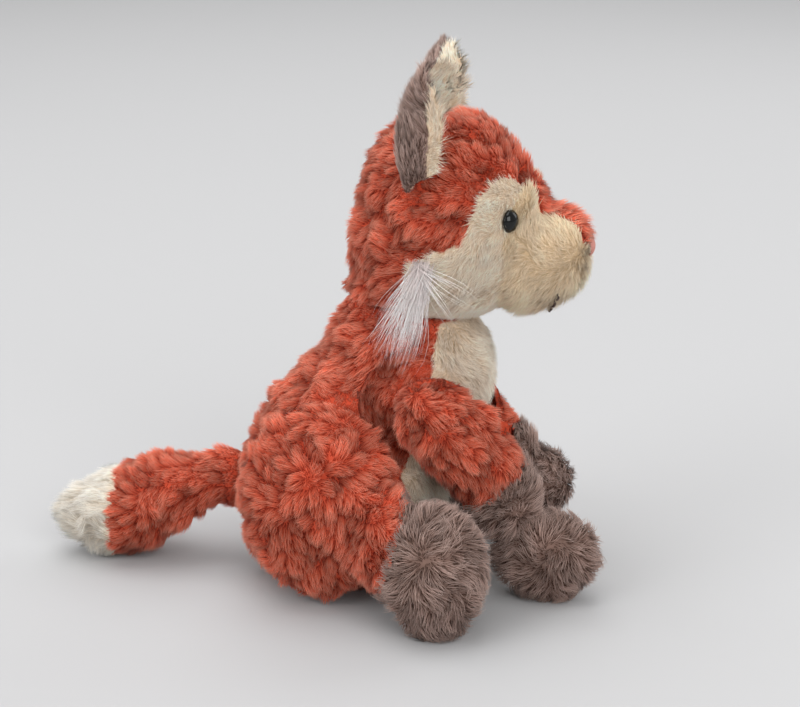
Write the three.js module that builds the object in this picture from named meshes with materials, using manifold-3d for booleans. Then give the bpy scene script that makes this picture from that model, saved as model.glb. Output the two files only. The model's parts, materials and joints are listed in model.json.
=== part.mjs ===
// A seated plush fox, in millimetres. +Z is up, the fox faces -Y and its left side is +X.
// The origin is the middle of the flat seat. Each sewn panel and each filling is its own mesh.
import * as THREE from "three";
import { mergeVertices } from "three/addons/utils/BufferGeometryUtils.js";
import Module from "manifold-3d";

const wasm = await Module();
wasm.setup();

// Cloth, seams and running gaps
const coverWall = 3; // plush cloth with its pile pressed flat
const seamGap = 0.3; // between two sewn panels, or a cover and its filling
const runningGap = 0.6; // between a limb and what it turns against
const floorFlat = 0.5; // how deep each resting form is cut flat by the floor
const overrun = 60; // how far every cutting block reaches past what it cuts

// Torso: a pear that leans forward, under a round neck that the head turns on
const torsoHeight = 134;
const torsoWidth = 114;
const torsoDepth = 108;
const torsoLean = 34;
const neckUpShare = 0.784; // of the torso's height
const neckRadius = 42;
const neckOpening = 17;
const seatBagWidth = 70;
const seatBagHeight = 20;

// Head: a skull and a short muzzle
const skullHeight = 99;
const skullWidth = 94;
const skullDepth = 92;
const skullForward = 16; // skull middle ahead of the neck middle
const skullRise = 26; // skull underside above the neck middle
const muzzleLength = 44;
const muzzleWidth = 50;
const muzzleDepth = 49;
const muzzleForward = 41; // back of the muzzle, inside the skull, ahead of the neck middle
const muzzleRise = 55; // muzzle middle above the neck middle
const tipUpShare = 0.1; // of the muzzle's height, tip above the muzzle's middle
const bridgeWidth = 18;
const eyeSpacing = 58;
const eyeDiameter = 12;
const eyeDome = 4.4;
const eyeOut = 28; // degrees that an eye looks out from straight ahead
const eyePostDiameter = 4;
const eyePostLength = 9;
const washerDiameter = 14;
const washerThickness = 2;
const noseWidth = 13;
const noseHeight = 9;
const noseThickness = 3;
const threadDiameter = 1.4;
const eyeUpShare = 0.03; // of the skull's height, above its middle
const bridgeUpShare = 0.1; // of the muzzle's height, strip above the tip

// Ears: cupped leaves of two layers
const earHeight = 60;
const earWidth = 58; // measured round the curl
const earCup = 18; // radius that the ear is curled to
const earLayer = 2.6;
const earLayerGap = 0.8; // between an ear's two layers, which lean as they bow
const earSpacing = 72;
const earRootUp = 106; // ear root above the neck middle
const earBow = 7; // how far the middle of an ear bows back
const earLean = 8; // degrees that an ear leans forward
const earSplay = 9; // degrees that an ear leans out
const earTurn = 15; // degrees that an ear's hollow looks out

// White tufts at the back of the cheeks
const tuftLength = 42;
const tuftWidth = 22;
const tuftThickness = 6;

// Arms
const shoulderUpShare = 0.7; // of the torso's height
const shoulderForwardShare = 1.45; // of the torso's lean
const shoulderWidthShare = 0.79; // of the torso's width
const shoulderRadius = 30;
const shoulderPocket = 11; // how deep the arm sits in the side of the torso
const armReach = 48;
const armDrop = 74;
const armTuck = 19; // how far the wrist comes in from the shoulder
const armWidth = 44;
const armOutShare = 0.2; // of the arm's width, from its flat face to its middle
const armDepth = 46;
const cuffShare = 0.66; // where the paw's seam goes round the sleeve
const pawLength = 52;
const pawWidth = 37;
const pawHeight = 45;

// Legs
const hipPocket = 15; // how deep the haunch sits in the side of the torso
const haunchLength = 84;
const haunchHeight = 100;
const haunchThickness = 30;
const haunchClear = 2; // haunch underside above the floor
const footLength = 52;
const footWidth = 46;
const footHeight = 65;
const footForward = 57; // foot middle ahead of the hip
const footOut = 30; // foot middle outside the hip's flat face
const soleSeamShare = 0.42; // of the foot's length, behind its middle
const soleSeamLean = 15; // degrees that the foot's seam leans from upright

// Tail
const tailLength = 90;
const tailWidth = 54;
const tailDrop = 22;
const tailRootRadius = 16;
const tailRootUp = 44;
const tailRootOut = 2; // tail root behind the torso's deepest place
const tipSeamShare = 0.62; // of the tail's length

// How finely the forms are drawn
const formSides = 16;
const formRings = 11;
const fillSides = 12;
const fillRings = 7;
const roundSides = 18;
const threadSides = 6;
const threadSteps = 12;
const domeSteps = 5;
const sweepSteps = 4;
const weld = 1e-4;

// Joint stops that the clearances are cut for, in degrees
const earFoldRange = [-20, 30];

const acrossAxis = new THREE.Vector3(1, 0, 0);
const forwardAxis = new THREE.Vector3(0, -1, 0);
const backAxis = new THREE.Vector3(0, 1, 0);
const upAxis = new THREE.Vector3(0, 0, 1);

const materials = {
  coral: { color: 0xd9654a, roughness: 0.95, metalness: 0 },
  taupe: { color: 0x8f7f76, roughness: 0.95, metalness: 0 },
  cream: { color: 0xd9ccb8, roughness: 0.95, metalness: 0 },
  white: { color: 0xefe8e6, roughness: 0.9, metalness: 0 },
  filling: { color: 0xf2f0ec, roughness: 1, metalness: 0 },
  pellets: { color: 0xb9b4a8, roughness: 0.8, metalness: 0 },
  eye: { color: 0x0a0a0b, roughness: 0.08, metalness: 0 },
  washer: { color: 0xe8e6e0, roughness: 0.5, metalness: 0 },
  nose: { color: 0xb8837c, roughness: 0.7, metalness: 0 },
  thread: { color: 0x3a2f2c, roughness: 0.8, metalness: 0 },
};

// Turns a closed three.js geometry into a solid that can be joined and cut.
function solid(geometry) {
  const bare = geometry.clone();
  bare.deleteAttribute("normal");
  bare.deleteAttribute("uv");
  const welded = mergeVertices(bare, weld);
  return new wasm.Manifold(new wasm.Mesh({
    numProp: 3,
    vertProperties: new Float32Array(welded.attributes.position.array),
    triVerts: new Uint32Array(welded.index.array),
  }));
}

function joined(solids) {
  return solids.reduce((all, next) => all.add(next));
}

function without(body, cutters) {
  return cutters.reduce((left, cutter) => left.subtract(cutter), body);
}

// A ring across a form: its middle, which way it faces, and how far it swells.
// The first and last stations are the ends, where the form closes to a point.
function formRing(stations, facing, share) {
  const last = stations.length - 1;
  const swells = stations.map((station, index) => {
    const inner = stations[Math.min(Math.max(index, 1), last - 1)];
    const at = Math.min(Math.max(index, 1), last - 1) / last;
    const round = 2 * Math.sqrt(at * (1 - at));
    return new THREE.Vector3(inner.halfWidth / round, inner.halfDepth / round, 0);
  });
  const spine = new THREE.CatmullRomCurve3(stations.map((station) => station.middle));
  spine.curveType = "catmullrom";
  const swelling = new THREE.CatmullRomCurve3(swells);
  swelling.curveType = "catmullrom";
  const along = facing ? facing.clone() : spine.getTangent(share);
  const wide = acrossAxis.clone().addScaledVector(along, -acrossAxis.dot(along)).normalize();
  const deep = along.clone().cross(wide);
  return { middle: spine.getPoint(share), wide, deep, swell: swelling.getPoint(share) };
}

// One point on a form's skin: share runs from the first station to the last,
// and turn goes round the form from its wide axis to its deep axis.
function formPoint(stations, facing, share, turn) {
  const ring = formRing(stations, facing, share);
  const round = 2 * Math.sqrt(share * (1 - share));
  return ring.middle.clone()
    .addScaledVector(ring.wide, Math.cos(turn) * round * ring.swell.x)
    .addScaledVector(ring.deep, Math.sin(turn) * round * ring.swell.y);
}

// Draws a sphere out along the stations and pulls its skin in by the inset.
function formGeometry(stations, facing, inset, sides, rings) {
  const sphere = new THREE.SphereGeometry(1, sides, rings);
  sphere.deleteAttribute("normal");
  sphere.deleteAttribute("uv");
  const skin = mergeVertices(sphere, weld);
  const places = skin.attributes.position;
  for (let i = 0; i < places.count; i += 1) {
    const unit = new THREE.Vector3().fromBufferAttribute(places, i);
    const ring = formRing(stations, facing, Math.min(Math.max((1 - unit.y) / 2, 0), 1));
    const place = ring.middle.clone()
      .addScaledVector(ring.wide, unit.x * ring.swell.x)
      .addScaledVector(ring.deep, unit.z * ring.swell.y);
    places.setXYZ(i, place.x, place.y, place.z);
  }
  skin.computeVertexNormals();
  const normals = skin.attributes.normal;
  for (let i = 0; i < places.count; i += 1) {
    const normal = new THREE.Vector3().fromBufferAttribute(normals, i);
    const place = new THREE.Vector3().fromBufferAttribute(places, i).addScaledVector(normal, -inset);
    places.setXYZ(i, place.x, place.y, place.z);
  }
  return skin;
}

// A form at a given depth under its skin: the skin itself, the cover's inside or the filling.
function form(stations, facing, inset) {
  const fine = inset < coverWall;
  const sides = fine ? formSides : fillSides;
  const rings = fine ? formRings : fillRings;
  return solid(formGeometry(stations, facing, inset, sides, rings));
}

function ball(middle, halfSizes, inset = 0, turn = 0) {
  const fine = inset < coverWall;
  const sides = fine ? formSides : fillSides;
  const rings = fine ? formRings : fillRings;
  const geometry = new THREE.SphereGeometry(1, sides, rings);
  geometry.rotateX(Math.PI / 2);
  geometry.scale(halfSizes.x - inset, halfSizes.y - inset, halfSizes.z - inset);
  geometry.rotateZ(turn);
  geometry.translate(middle.x, middle.y, middle.z);
  return solid(geometry);
}

function block(low, high) {
  const size = high.clone().sub(low);
  const geometry = new THREE.BoxGeometry(size.x, size.y, size.z);
  geometry.translate((low.x + high.x) / 2, (low.y + high.y) / 2, (low.z + high.z) / 2);
  return solid(geometry);
}

// A disc with its axis across the fox, from one distance out to another.
function sideDisc(side, middle, radius, fromOut, toOut) {
  const geometry = new THREE.CylinderGeometry(radius, radius, toOut - fromOut, roundSides);
  geometry.rotateZ(Math.PI / 2);
  geometry.translate(side * (fromOut + toOut) / 2, middle.y, middle.z);
  return solid(geometry);
}

// A prism with its outline in the side view, given as [y, z] pairs, right across the fox.
function sidePrism(outline) {
  const shape = new THREE.Shape(outline.map(([y, z]) => new THREE.Vector2(y, z)));
  const across = torsoWidth + 2 * overrun;
  const geometry = new THREE.ExtrudeGeometry(shape, { depth: across, bevelEnabled: false });
  geometry.translate(0, 0, -across / 2);
  geometry.applyMatrix4(new THREE.Matrix4().makeBasis(backAxis, upAxis, acrossAxis));
  return solid(geometry);
}

// A thin wall across the fox that opens a seam along a line of the side view.
function seamWall(line) {
  const half = seamGap / 2;
  const points = line.map(([y, z]) => new THREE.Vector2(y, z));
  const sideways = points.map((point, i) => {
    const before = points[Math.max(i - 1, 0)];
    const after = points[Math.min(i + 1, points.length - 1)];
    const run = after.clone().sub(before).normalize();
    return new THREE.Vector2(-run.y, run.x).multiplyScalar(half);
  });
  const above = points.map((point, i) => point.clone().add(sideways[i]));
  const below = points.map((point, i) => point.clone().sub(sideways[i])).reverse();
  return sidePrism([...above, ...below].map((point) => [point.x, point.y]));
}

// The half space in front of a plane, as a block that the cuts can use.
function beyondPlane(point, normal) {
  const reach = torsoHeight + 2 * overrun;
  const geometry = new THREE.BoxGeometry(reach, reach, reach);
  geometry.translate(0, 0, reach / 2);
  geometry.applyQuaternion(new THREE.Quaternion().setFromUnitVectors(upAxis, normal));
  geometry.translate(point.x, point.y, point.z);
  return solid(geometry);
}

// The two sides of a plane, with half a seam's gap taken from each.
function splitAt(shell, point, normal) {
  const step = normal.clone().multiplyScalar(seamGap / 2);
  const ahead = shell.intersect(beyondPlane(point.clone().add(step), normal));
  const behind = shell.intersect(beyondPlane(point.clone().sub(step), normal.clone().negate()));
  return [behind, ahead];
}

const floor = block(
  new THREE.Vector3(-torsoWidth - overrun, -torsoDepth - 2 * overrun, -overrun),
  new THREE.Vector3(torsoWidth + overrun, torsoDepth + 2 * overrun, 0),
);

function mesh(name, material, body) {
  const cut = body.getMesh();
  const geometry = new THREE.BufferGeometry();
  const places = new Float32Array(cut.vertProperties);
  geometry.setAttribute("position", new THREE.BufferAttribute(places, cut.numProp));
  geometry.setIndex(new THREE.BufferAttribute(new Uint32Array(cut.triVerts), 1));
  const made = new THREE.Mesh(geometry, new THREE.MeshStandardMaterial(materials[material]));
  made.name = name;
  return made;
}

// A body's meshes in a group that stands at the body's pivot.
function bodyAt(pivot, meshes) {
  const group = new THREE.Group();
  group.position.copy(pivot);
  for (const piece of meshes) {
    piece.geometry.translate(-pivot.x, -pivot.y, -pivot.z);
    group.add(piece);
  }
  return group;
}

// Torso places
const seat = new THREE.Vector3(0, 0, 0);
const neck = new THREE.Vector3(0, -torsoLean, neckUpShare * torsoHeight);
const hipFace = torsoWidth / 2 - hipPocket;
const hip = new THREE.Vector3(0, 0, haunchHeight / 2 + haunchClear);
const shoulderFace = shoulderWidthShare * torsoWidth / 2 - shoulderPocket;
const shoulder = new THREE.Vector3(
  0,
  -shoulderForwardShare * torsoLean,
  shoulderUpShare * torsoHeight,
);
const tailRoot = new THREE.Vector3(0, torsoDepth / 2 + tailRootOut, tailRootUp);

// Height, lean, width and depth down the torso
const torsoShares = [
  [0.06, 0, 0.8, 0.81],
  [0.33, 0.04, 1, 1],
  [0.6, 0.3, 0.88, 0.98],
  [0.79, 0.66, 0.7, 0.84],
  [0.93, 0.95, 0.5, 0.58],
];
const torsoStations = [
  { middle: new THREE.Vector3(0, 0, -floorFlat) },
  ...torsoShares.map(([height, lean, width, depth]) => ({
    middle: new THREE.Vector3(0, -lean * torsoLean, height * torsoHeight),
    halfWidth: width * torsoWidth / 2,
    halfDepth: depth * torsoDepth / 2,
  })),
  { middle: new THREE.Vector3(0, -torsoLean, torsoHeight) },
];

// The torso at a depth under its skin, with its pockets for the arms, legs and tail.
function torsoAt(inset) {
  const pear = form(torsoStations, upAxis, inset);
  const dome = ball(neck, new THREE.Vector3(neckRadius, neckRadius, neckRadius), inset);
  const pockets = [-1, 1].flatMap((side) => [
    sideDisc(side, hip, haunchHeight / 2 + runningGap + inset, hipFace - inset, torsoWidth),
    sideDisc(side, shoulder, shoulderRadius + runningGap + inset, shoulderFace - inset, torsoWidth),
  ]);
  const socketRadius = tailRootRadius + runningGap + inset;
  const socket = ball(tailRoot, new THREE.Vector3(socketRadius, socketRadius, socketRadius));
  return without(pear.add(dome), [...pockets, socket]);
}

function neckHole() {
  const geometry = new THREE.CylinderGeometry(neckOpening, neckOpening, 2 * neckRadius, roundSides);
  geometry.rotateX(Math.PI / 2);
  geometry.translate(neck.x, neck.y, neck.z + neckRadius + neckRadius / 2);
  return solid(geometry);
}

// The cream front of the torso, behind the arms and under the chin
const chestSeamShares = [[-0.29, 0.09], [-0.33, 0.45], [-0.46, 0.74], [-0.49, 1]];
const chestSeam = chestSeamShares.map(([y, z]) => [y * torsoDepth, z * torsoHeight]);

function buildTorso() {
  const shell = without(torsoAt(0), [torsoAt(coverWall), neckHole(), floor]);
  const [low, high] = [chestSeam[0], chestSeam.at(-1)];
  const ahead = -torsoDepth - overrun;
  const outline = [...chestSeam, [ahead, high[1]], [ahead, low[1]]];
  const cut = without(shell, [seamWall([[ahead, low[1]], ...chestSeam, [ahead, high[1]]])]);
  const chestRegion = sidePrism(outline.toReversed());
  const bagMiddle = new THREE.Vector3(0, 0, coverWall + seamGap + seatBagHeight / 2 - floorFlat);
  const bagHalf = new THREE.Vector3(seatBagWidth / 2, seatBagWidth / 2, seatBagHeight / 2);
  const bagFloor = block(
    new THREE.Vector3(-torsoWidth, -torsoDepth, -overrun),
    new THREE.Vector3(torsoWidth, torsoDepth, coverWall + seamGap),
  );
  const bagRoom = ball(bagMiddle, bagHalf, -seamGap);
  const filling = without(torsoAt(coverWall + seamGap), [bagRoom, bagFloor, neckHole()]);
  return [
    mesh("torso_cover", "coral", cut.subtract(chestRegion)),
    mesh("chest_panel", "cream", cut.intersect(chestRegion)),
    mesh("torso_stuffing", "filling", filling),
    mesh("seat_pellet_bag", "pellets", ball(bagMiddle, bagHalf).subtract(bagFloor)),
  ];
}

// Height, lean, width and depth up the skull
const skullShares = [
  [0.1, -0.3, 0.74, 0.88],
  [0.22, -0.05, 0.92, 0.92],
  [0.42, 0.05, 1, 1],
  [0.62, 0.1, 0.97, 0.95],
  [0.78, 0, 0.85, 0.82],
  [0.93, 0.05, 0.55, 0.6],
];
const skullFoot = neck.z + skullRise;
const skullMiddle = new THREE.Vector3(0, neck.y - skullForward, skullFoot + skullHeight / 2);
const skullStations = [
  { middle: skullMiddle.clone().setZ(skullFoot) },
  ...skullShares.map(([height, lean, width, depth]) => ({
    middle: new THREE.Vector3(0, skullMiddle.y - lean * skullForward, skullFoot + height * skullHeight),
    halfWidth: width * skullWidth / 2,
    halfDepth: depth * skullDepth / 2,
  })),
  { middle: skullMiddle.clone().setZ(skullMiddle.z + skullHeight / 2) },
];

// Length, rise, width and height along the muzzle
const muzzleShares = [
  [0.2, 0, 1.15, 1],
  [0.45, 0.01, 1, 1],
  [0.7, 0.04, 0.86, 0.9],
  [0.9, 0.08, 0.64, 0.66],
];
const muzzleBack = new THREE.Vector3(0, neck.y - muzzleForward, neck.z + muzzleRise);
const muzzleTip = new THREE.Vector3(
  0,
  muzzleBack.y - muzzleLength,
  muzzleBack.z + tipUpShare * muzzleDepth,
);
const muzzleStations = [
  { middle: muzzleBack },
  ...muzzleShares.map(([length, rise, width, height]) => ({
    middle: muzzleBack.clone().add(new THREE.Vector3(0, -length * muzzleLength, rise * muzzleDepth)),
    halfWidth: width * muzzleWidth / 2,
    halfDepth: height * muzzleDepth / 2,
  })),
  { middle: muzzleTip },
];

// The head at a depth under its skin, hollowed below to turn on the neck.
function headAt(inset) {
  const recess = neckRadius + runningGap + inset;
  return joined([
    form(skullStations, upAxis, inset),
    form(muzzleStations, forwardAxis, inset),
  ]).subtract(ball(neck, new THREE.Vector3(recess, recess, recess)));
}

// Where a line from the front meets the skull.
function faceSpot(out, up) {
  const skull = new THREE.Mesh(formGeometry(skullStations, upAxis, 0, formSides, formRings));
  const start = new THREE.Vector3(out, -torsoDepth - 2 * overrun, up);
  return new THREE.Raycaster(start, backAxis).intersectObject(skull)[0].point;
}

function turnedOnAxis(radius, profile, spot, normal) {
  const geometry = new THREE.LatheGeometry(profile, radius);
  geometry.rotateX(Math.PI / 2);
  geometry.applyQuaternion(new THREE.Quaternion().setFromUnitVectors(upAxis, normal));
  geometry.translate(spot.x, spot.y, spot.z);
  return solid(geometry);
}

function plug(diameter, from, to, spot, normal) {
  const radius = diameter / 2;
  const profile = [[0, from], [radius, from], [radius, to], [0, to]];
  return turnedOnAxis(roundSides, profile.map(([r, h]) => new THREE.Vector2(r, h)), spot, normal);
}

// A safety eye: a dome on a post through the cloth, held by a washer inside.
function buildEye(side) {
  const point = faceSpot(side * eyeSpacing / 2, skullMiddle.z + eyeUpShare * skullHeight);
  const normal = forwardAxis.clone().applyAxisAngle(upAxis, side * THREE.MathUtils.degToRad(eyeOut));
  const seatDepth = coverWall / 3;
  const dome = [];
  for (let i = 0; i <= domeSteps; i += 1) {
    const angle = (i / domeSteps) * Math.PI / 2;
    const out = i < domeSteps ? Math.cos(angle) * eyeDiameter / 2 : 0;
    dome.push(new THREE.Vector2(out, Math.sin(angle) * eyeDome - seatDepth));
  }
  const post = [
    new THREE.Vector2(0, -seatDepth - eyePostLength),
    new THREE.Vector2(eyePostDiameter / 2, -seatDepth - eyePostLength),
    new THREE.Vector2(eyePostDiameter / 2, -seatDepth),
  ];
  const washerTop = -coverWall - seamGap - seatDepth;
  const washerFoot = washerTop - washerThickness;
  const clearPost = eyePostDiameter + 2 * seamGap;
  const clearWasher = washerDiameter + 2 * seamGap;
  const past = eyePostLength + coverWall;
  const hole = plug(clearPost, -past, past, point, normal);
  return {
    eye: turnedOnAxis(roundSides, [...post, ...dome], point, normal),
    washer: plug(washerDiameter, washerFoot, washerTop, point, normal).subtract(hole),
    coverHoles: [
      plug(eyeDiameter + 2 * seamGap, -seatDepth - seamGap, past, point, normal),
      hole,
      plug(clearWasher, washerFoot - seamGap, washerTop + seamGap, point, normal),
    ],
    fillingHoles: [
      plug(clearWasher, washerFoot - seamGap, past, point, normal),
      plug(clearPost, -seatDepth - eyePostLength - seamGap, past, point, normal),
    ],
  };
}

// The stitched mouth: a thread from under the nose round to one side and the other.
function buildMouth() {
  const lift = threadDiameter / 2 + seamGap;
  const lipShares = [[0.6, 0.82], [0.52, 0.68], [0.48, 0.5], [0.52, 0.32], [0.6, 0.18]];
  const points = lipShares.map(([share, turn]) => {
    const skin = formPoint(muzzleStations, forwardAxis, share, -turn * Math.PI);
    const away = skin.clone().sub(muzzleBack).normalize();
    return skin.addScaledVector(away, lift);
  });
  const path = new THREE.CatmullRomCurve3(points);
  const section = new THREE.Shape();
  for (let i = 0; i < threadSides; i += 1) {
    const angle = (i / threadSides) * 2 * Math.PI;
    const corner = [Math.cos(angle) * threadDiameter / 2, Math.sin(angle) * threadDiameter / 2];
    if (i === 0) {
      section.moveTo(...corner);
    } else {
      section.lineTo(...corner);
    }
  }
  const settings = { steps: threadSteps, extrudePath: path, bevelEnabled: false };
  const thread = solid(new THREE.ExtrudeGeometry(section, settings));
  return thread.subtract(form(muzzleStations, forwardAxis, -seamGap));
}

// Panel lines of the head in the side view, as shares of the skull round its middle
const faceLineShares = [
  [-0.66, -0.62], [-0.12, -0.62], [0.1, -0.42], [0.2, -0.28], [0.15, -0.16],
  [-0.02, -0.11], [-0.19, -0.05], [-0.25, 0.06], [-0.34, 0.24], [-0.56, 0.09], [-1.2, 0.09],
];
const muzzleSeamShares = [[-0.3, -0.62], [-0.34, -0.3], [-0.38, 0.04], [-0.444, 0.185]];

function onHead([y, z]) {
  return [skullMiddle.y + y * skullDepth, skullMiddle.z + z * skullHeight];
}

// Fall, backward travel and width down a tuft, with how far its root is behind and below
// the skull's middle, and how far it hangs in
const tuftShares = [[0, 0, 0], [0.12, 0.03, 0.55], [0.45, 0.06, 1], [0.75, 0.14, 0.8], [1, 0.2, 0]];
const tuftRootShares = { back: 0.1, down: 0.13 };
const tuftHangShare = 0.06;

// A tuft of long white hair that hangs from the back of the cheek.
function buildTuft(side, head) {
  const rootOut = skullWidth / 2 - tuftThickness / 4;
  const stations = tuftShares.map(([down, back, width]) => ({
    middle: new THREE.Vector3(
      side * (rootOut - tuftHangShare * down * tuftLength),
      skullMiddle.y + tuftRootShares.back * skullDepth + back * tuftLength,
      skullMiddle.z - tuftRootShares.down * skullHeight - down * tuftLength,
    ),
    halfWidth: width * tuftThickness / 2,
    halfDepth: width * tuftWidth / 2,
  }));
  return solid(formGeometry(stations, null, 0, fillSides, fillRings)).subtract(head);
}

function buildHead() {
  const eyes = { left: buildEye(1), right: buildEye(-1) };
  const coverHoles = [...eyes.left.coverHoles, ...eyes.right.coverHoles];
  const fillingHoles = [...eyes.left.fillingHoles, ...eyes.right.fillingHoles];
  const shell = without(headAt(0), [headAt(coverWall), neckHole(), ...coverHoles]);
  const faceLine = faceLineShares.map(onHead);
  const muzzleSeam = muzzleSeamShares.map(onHead);
  const face = sidePrism(faceLine);
  const crown = skullMiddle.z + skullHeight;
  const aheadOfSeam = sidePrism([
    [muzzleTip.y - overrun, crown],
    [muzzleTip.y - overrun, muzzleSeam[0][1]],
    ...muzzleSeam,
    [muzzleSeam.at(-1)[0], crown],
  ]);
  const bridgeFoot = muzzleTip.z + bridgeUpShare * muzzleDepth;
  const bridgeBox = (grow) => block(
    new THREE.Vector3(-bridgeWidth / 2 - grow, muzzleTip.y - overrun, bridgeFoot - grow),
    new THREE.Vector3(bridgeWidth / 2 + grow, skullMiddle.y, bridgeFoot + overrun),
  );
  const cut = without(shell, [seamWall([...faceLine, faceLine[0]]), seamWall(muzzleSeam)]);
  const facePanels = cut.intersect(face);
  const muzzle = facePanels.intersect(aheadOfSeam);
  const cheeks = facePanels.subtract(aheadOfSeam);
  const [right, left] = splitAt(cheeks, neck, acrossAxis);
  const noseHalf = new THREE.Vector3(noseWidth / 2, noseThickness, noseHeight / 2);
  const noseMiddle = muzzleTip.clone().add(new THREE.Vector3(0, 0, noseHeight / 4));
  const skin = form(muzzleStations, forwardAxis, -seamGap);
  const grownHead = joined([form(skullStations, upAxis, -seamGap), skin]);
  const filling = without(headAt(coverWall + seamGap), fillingHoles);
  return [
    mesh("head_cover", "coral", cut.subtract(face)),
    mesh("cheek_panel_left", "cream", left),
    mesh("cheek_panel_right", "cream", right),
    mesh("muzzle_cover", "cream", muzzle.subtract(bridgeBox(seamGap))),
    mesh("bridge_strip", "coral", muzzle.intersect(bridgeBox(0))),
    mesh("nose_embroidery", "nose", ball(noseMiddle, noseHalf).subtract(skin)),
    mesh("mouth_stitch", "thread", buildMouth()),
    mesh("head_stuffing", "filling", filling),
    mesh("eye_left", "eye", eyes.left.eye),
    mesh("eye_right", "eye", eyes.right.eye),
    mesh("eye_washer_left", "washer", eyes.left.washer),
    mesh("eye_washer_right", "washer", eyes.right.washer),
    mesh("cheek_tuft_left", "white", buildTuft(1, grownHead)),
    mesh("cheek_tuft_right", "white", buildTuft(-1, grownHead)),
  ];
}

const earTaperShare = 0.1; // how much narrower the tip's curl is than the root's
const earFullShare = 0.3; // how much fuller an ear's outline is than an oval

// One layer of an ear, standing at its root and curled towards the front.
function earLayerAt(width, height, behind) {
  const leaf = new THREE.SphereGeometry(1, formSides, formRings);
  leaf.rotateX(Math.PI / 2);
  leaf.deleteAttribute("normal");
  leaf.deleteAttribute("uv");
  const places = leaf.attributes.position;
  for (let i = 0; i < places.count; i += 1) {
    const taper = 1 - earTaperShare * (places.getZ(i) + 1) / 2;
    const fuller = Math.max(1 - Math.max(places.getZ(i), 0) ** 2, weld) ** -earFullShare;
    const around = places.getX(i) * taper * fuller * (width / 2) / earCup;
    const radius = earCup + behind + places.getY(i) * earLayer / 2;
    const bow = earBow * (1 - (places.getZ(i) * height / earHeight) ** 2);
    places.setXYZ(
      i,
      radius * Math.sin(around),
      radius * Math.cos(around) - earCup + bow,
      places.getZ(i) * height / 2 + height / 4,
    );
  }
  return leaf;
}

// How far back each ear is set: the left one is sewn a little further back
const earBackShares = { right: 0.08, left: 0.13 };

function earHinge(side, label) {
  const out = earSpacing / 2;
  const back = skullMiddle.y + earBackShares[label] * skullDepth;
  const root = new THREE.Vector3(side * out, back, neck.z + earRootUp);
  const axis = new THREE.Vector3(1, 0, -side).normalize();
  return { root, axis };
}

function buildEar(side, label) {
  const { root, axis } = earHinge(side, label);
  const placed = (geometry) => {
    geometry.rotateZ(side * THREE.MathUtils.degToRad(earTurn));
    geometry.rotateX(THREE.MathUtils.degToRad(earLean));
    geometry.rotateY(side * THREE.MathUtils.degToRad(earSplay));
    geometry.translate(root.x, root.y, root.z);
    return solid(geometry);
  };
  const [back, forward] = earFoldRange;
  const clearance = [];
  for (let i = 0; i <= sweepSteps; i += 1) {
    const angle = THREE.MathUtils.degToRad(back + (forward - back) * i / sweepSteps);
    const skull = formGeometry(skullStations, upAxis, -runningGap, formSides, formRings);
    skull.translate(-root.x, -root.y, -root.z);
    skull.applyQuaternion(new THREE.Quaternion().setFromAxisAngle(axis, -angle));
    skull.translate(root.x, root.y, root.z);
    clearance.push(solid(skull));
  }
  const outer = earLayerAt(earWidth, earHeight, 0);
  const liningWidth = earWidth - 4 * earLayer;
  const liningHeight = earHeight - 2 * earLayer;
  const inner = earLayerAt(liningWidth, liningHeight, -earLayer - earLayerGap);
  return bodyAt(root, [
    mesh(`ear_back_${label}`, "taupe", without(placed(outer), clearance)),
    mesh(`ear_lining_${label}`, "cream", without(placed(inner), clearance)),
  ]);
}

// Inward, forward and downward travel, width and depth down the arm
const sleeveShares = [
  [0, -0.05, -0.07, 0.9, 0.8],
  [0.05, 0.17, 0.04, 1, 0.98],
  [0.2, 0.42, 0.22, 1, 1],
  [0.5, 0.62, 0.42, 0.9, 0.9],
  [0.85, 0.77, 0.64, 0.82, 0.8],
];
const sleeveTopShares = [0, -0.3, -0.16];
const sleeveEndShares = [1, 0.85, 0.85];
const armOut = shoulderFace + armOutShare * armWidth;

// How each arm is held: how far its sleeve reaches and is set back, then the paw's middle
// from the shoulder and how far its toe turns out
const armPoseShares = {
  right: { reach: 1, back: 0, pawTuck: 1.2, pawReach: 1.15, pawLift: 0, pawTurn: 0 },
  left: { reach: 0.87, back: 0.02, pawTuck: 0.45, pawReach: 0.85, pawLift: 0.3, pawTurn: 40 },
};

function armStations(side, pose) {
  const start = new THREE.Vector3(side * armOut, shoulder.y, shoulder.z);
  const place = (tuck, reach, drop) => new THREE.Vector3(
    start.x - side * tuck * armTuck,
    start.y - (reach * pose.reach - pose.back) * armReach,
    start.z - drop * armDrop,
  );
  return [
    { middle: place(...sleeveTopShares) },
    ...sleeveShares.map(([tuck, reach, drop, width, depth]) => ({
      middle: place(tuck, reach, drop),
      halfWidth: width * armWidth / 2,
      halfDepth: depth * armDepth / 2,
    })),
    { middle: place(...sleeveEndShares) },
  ];
}

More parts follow.
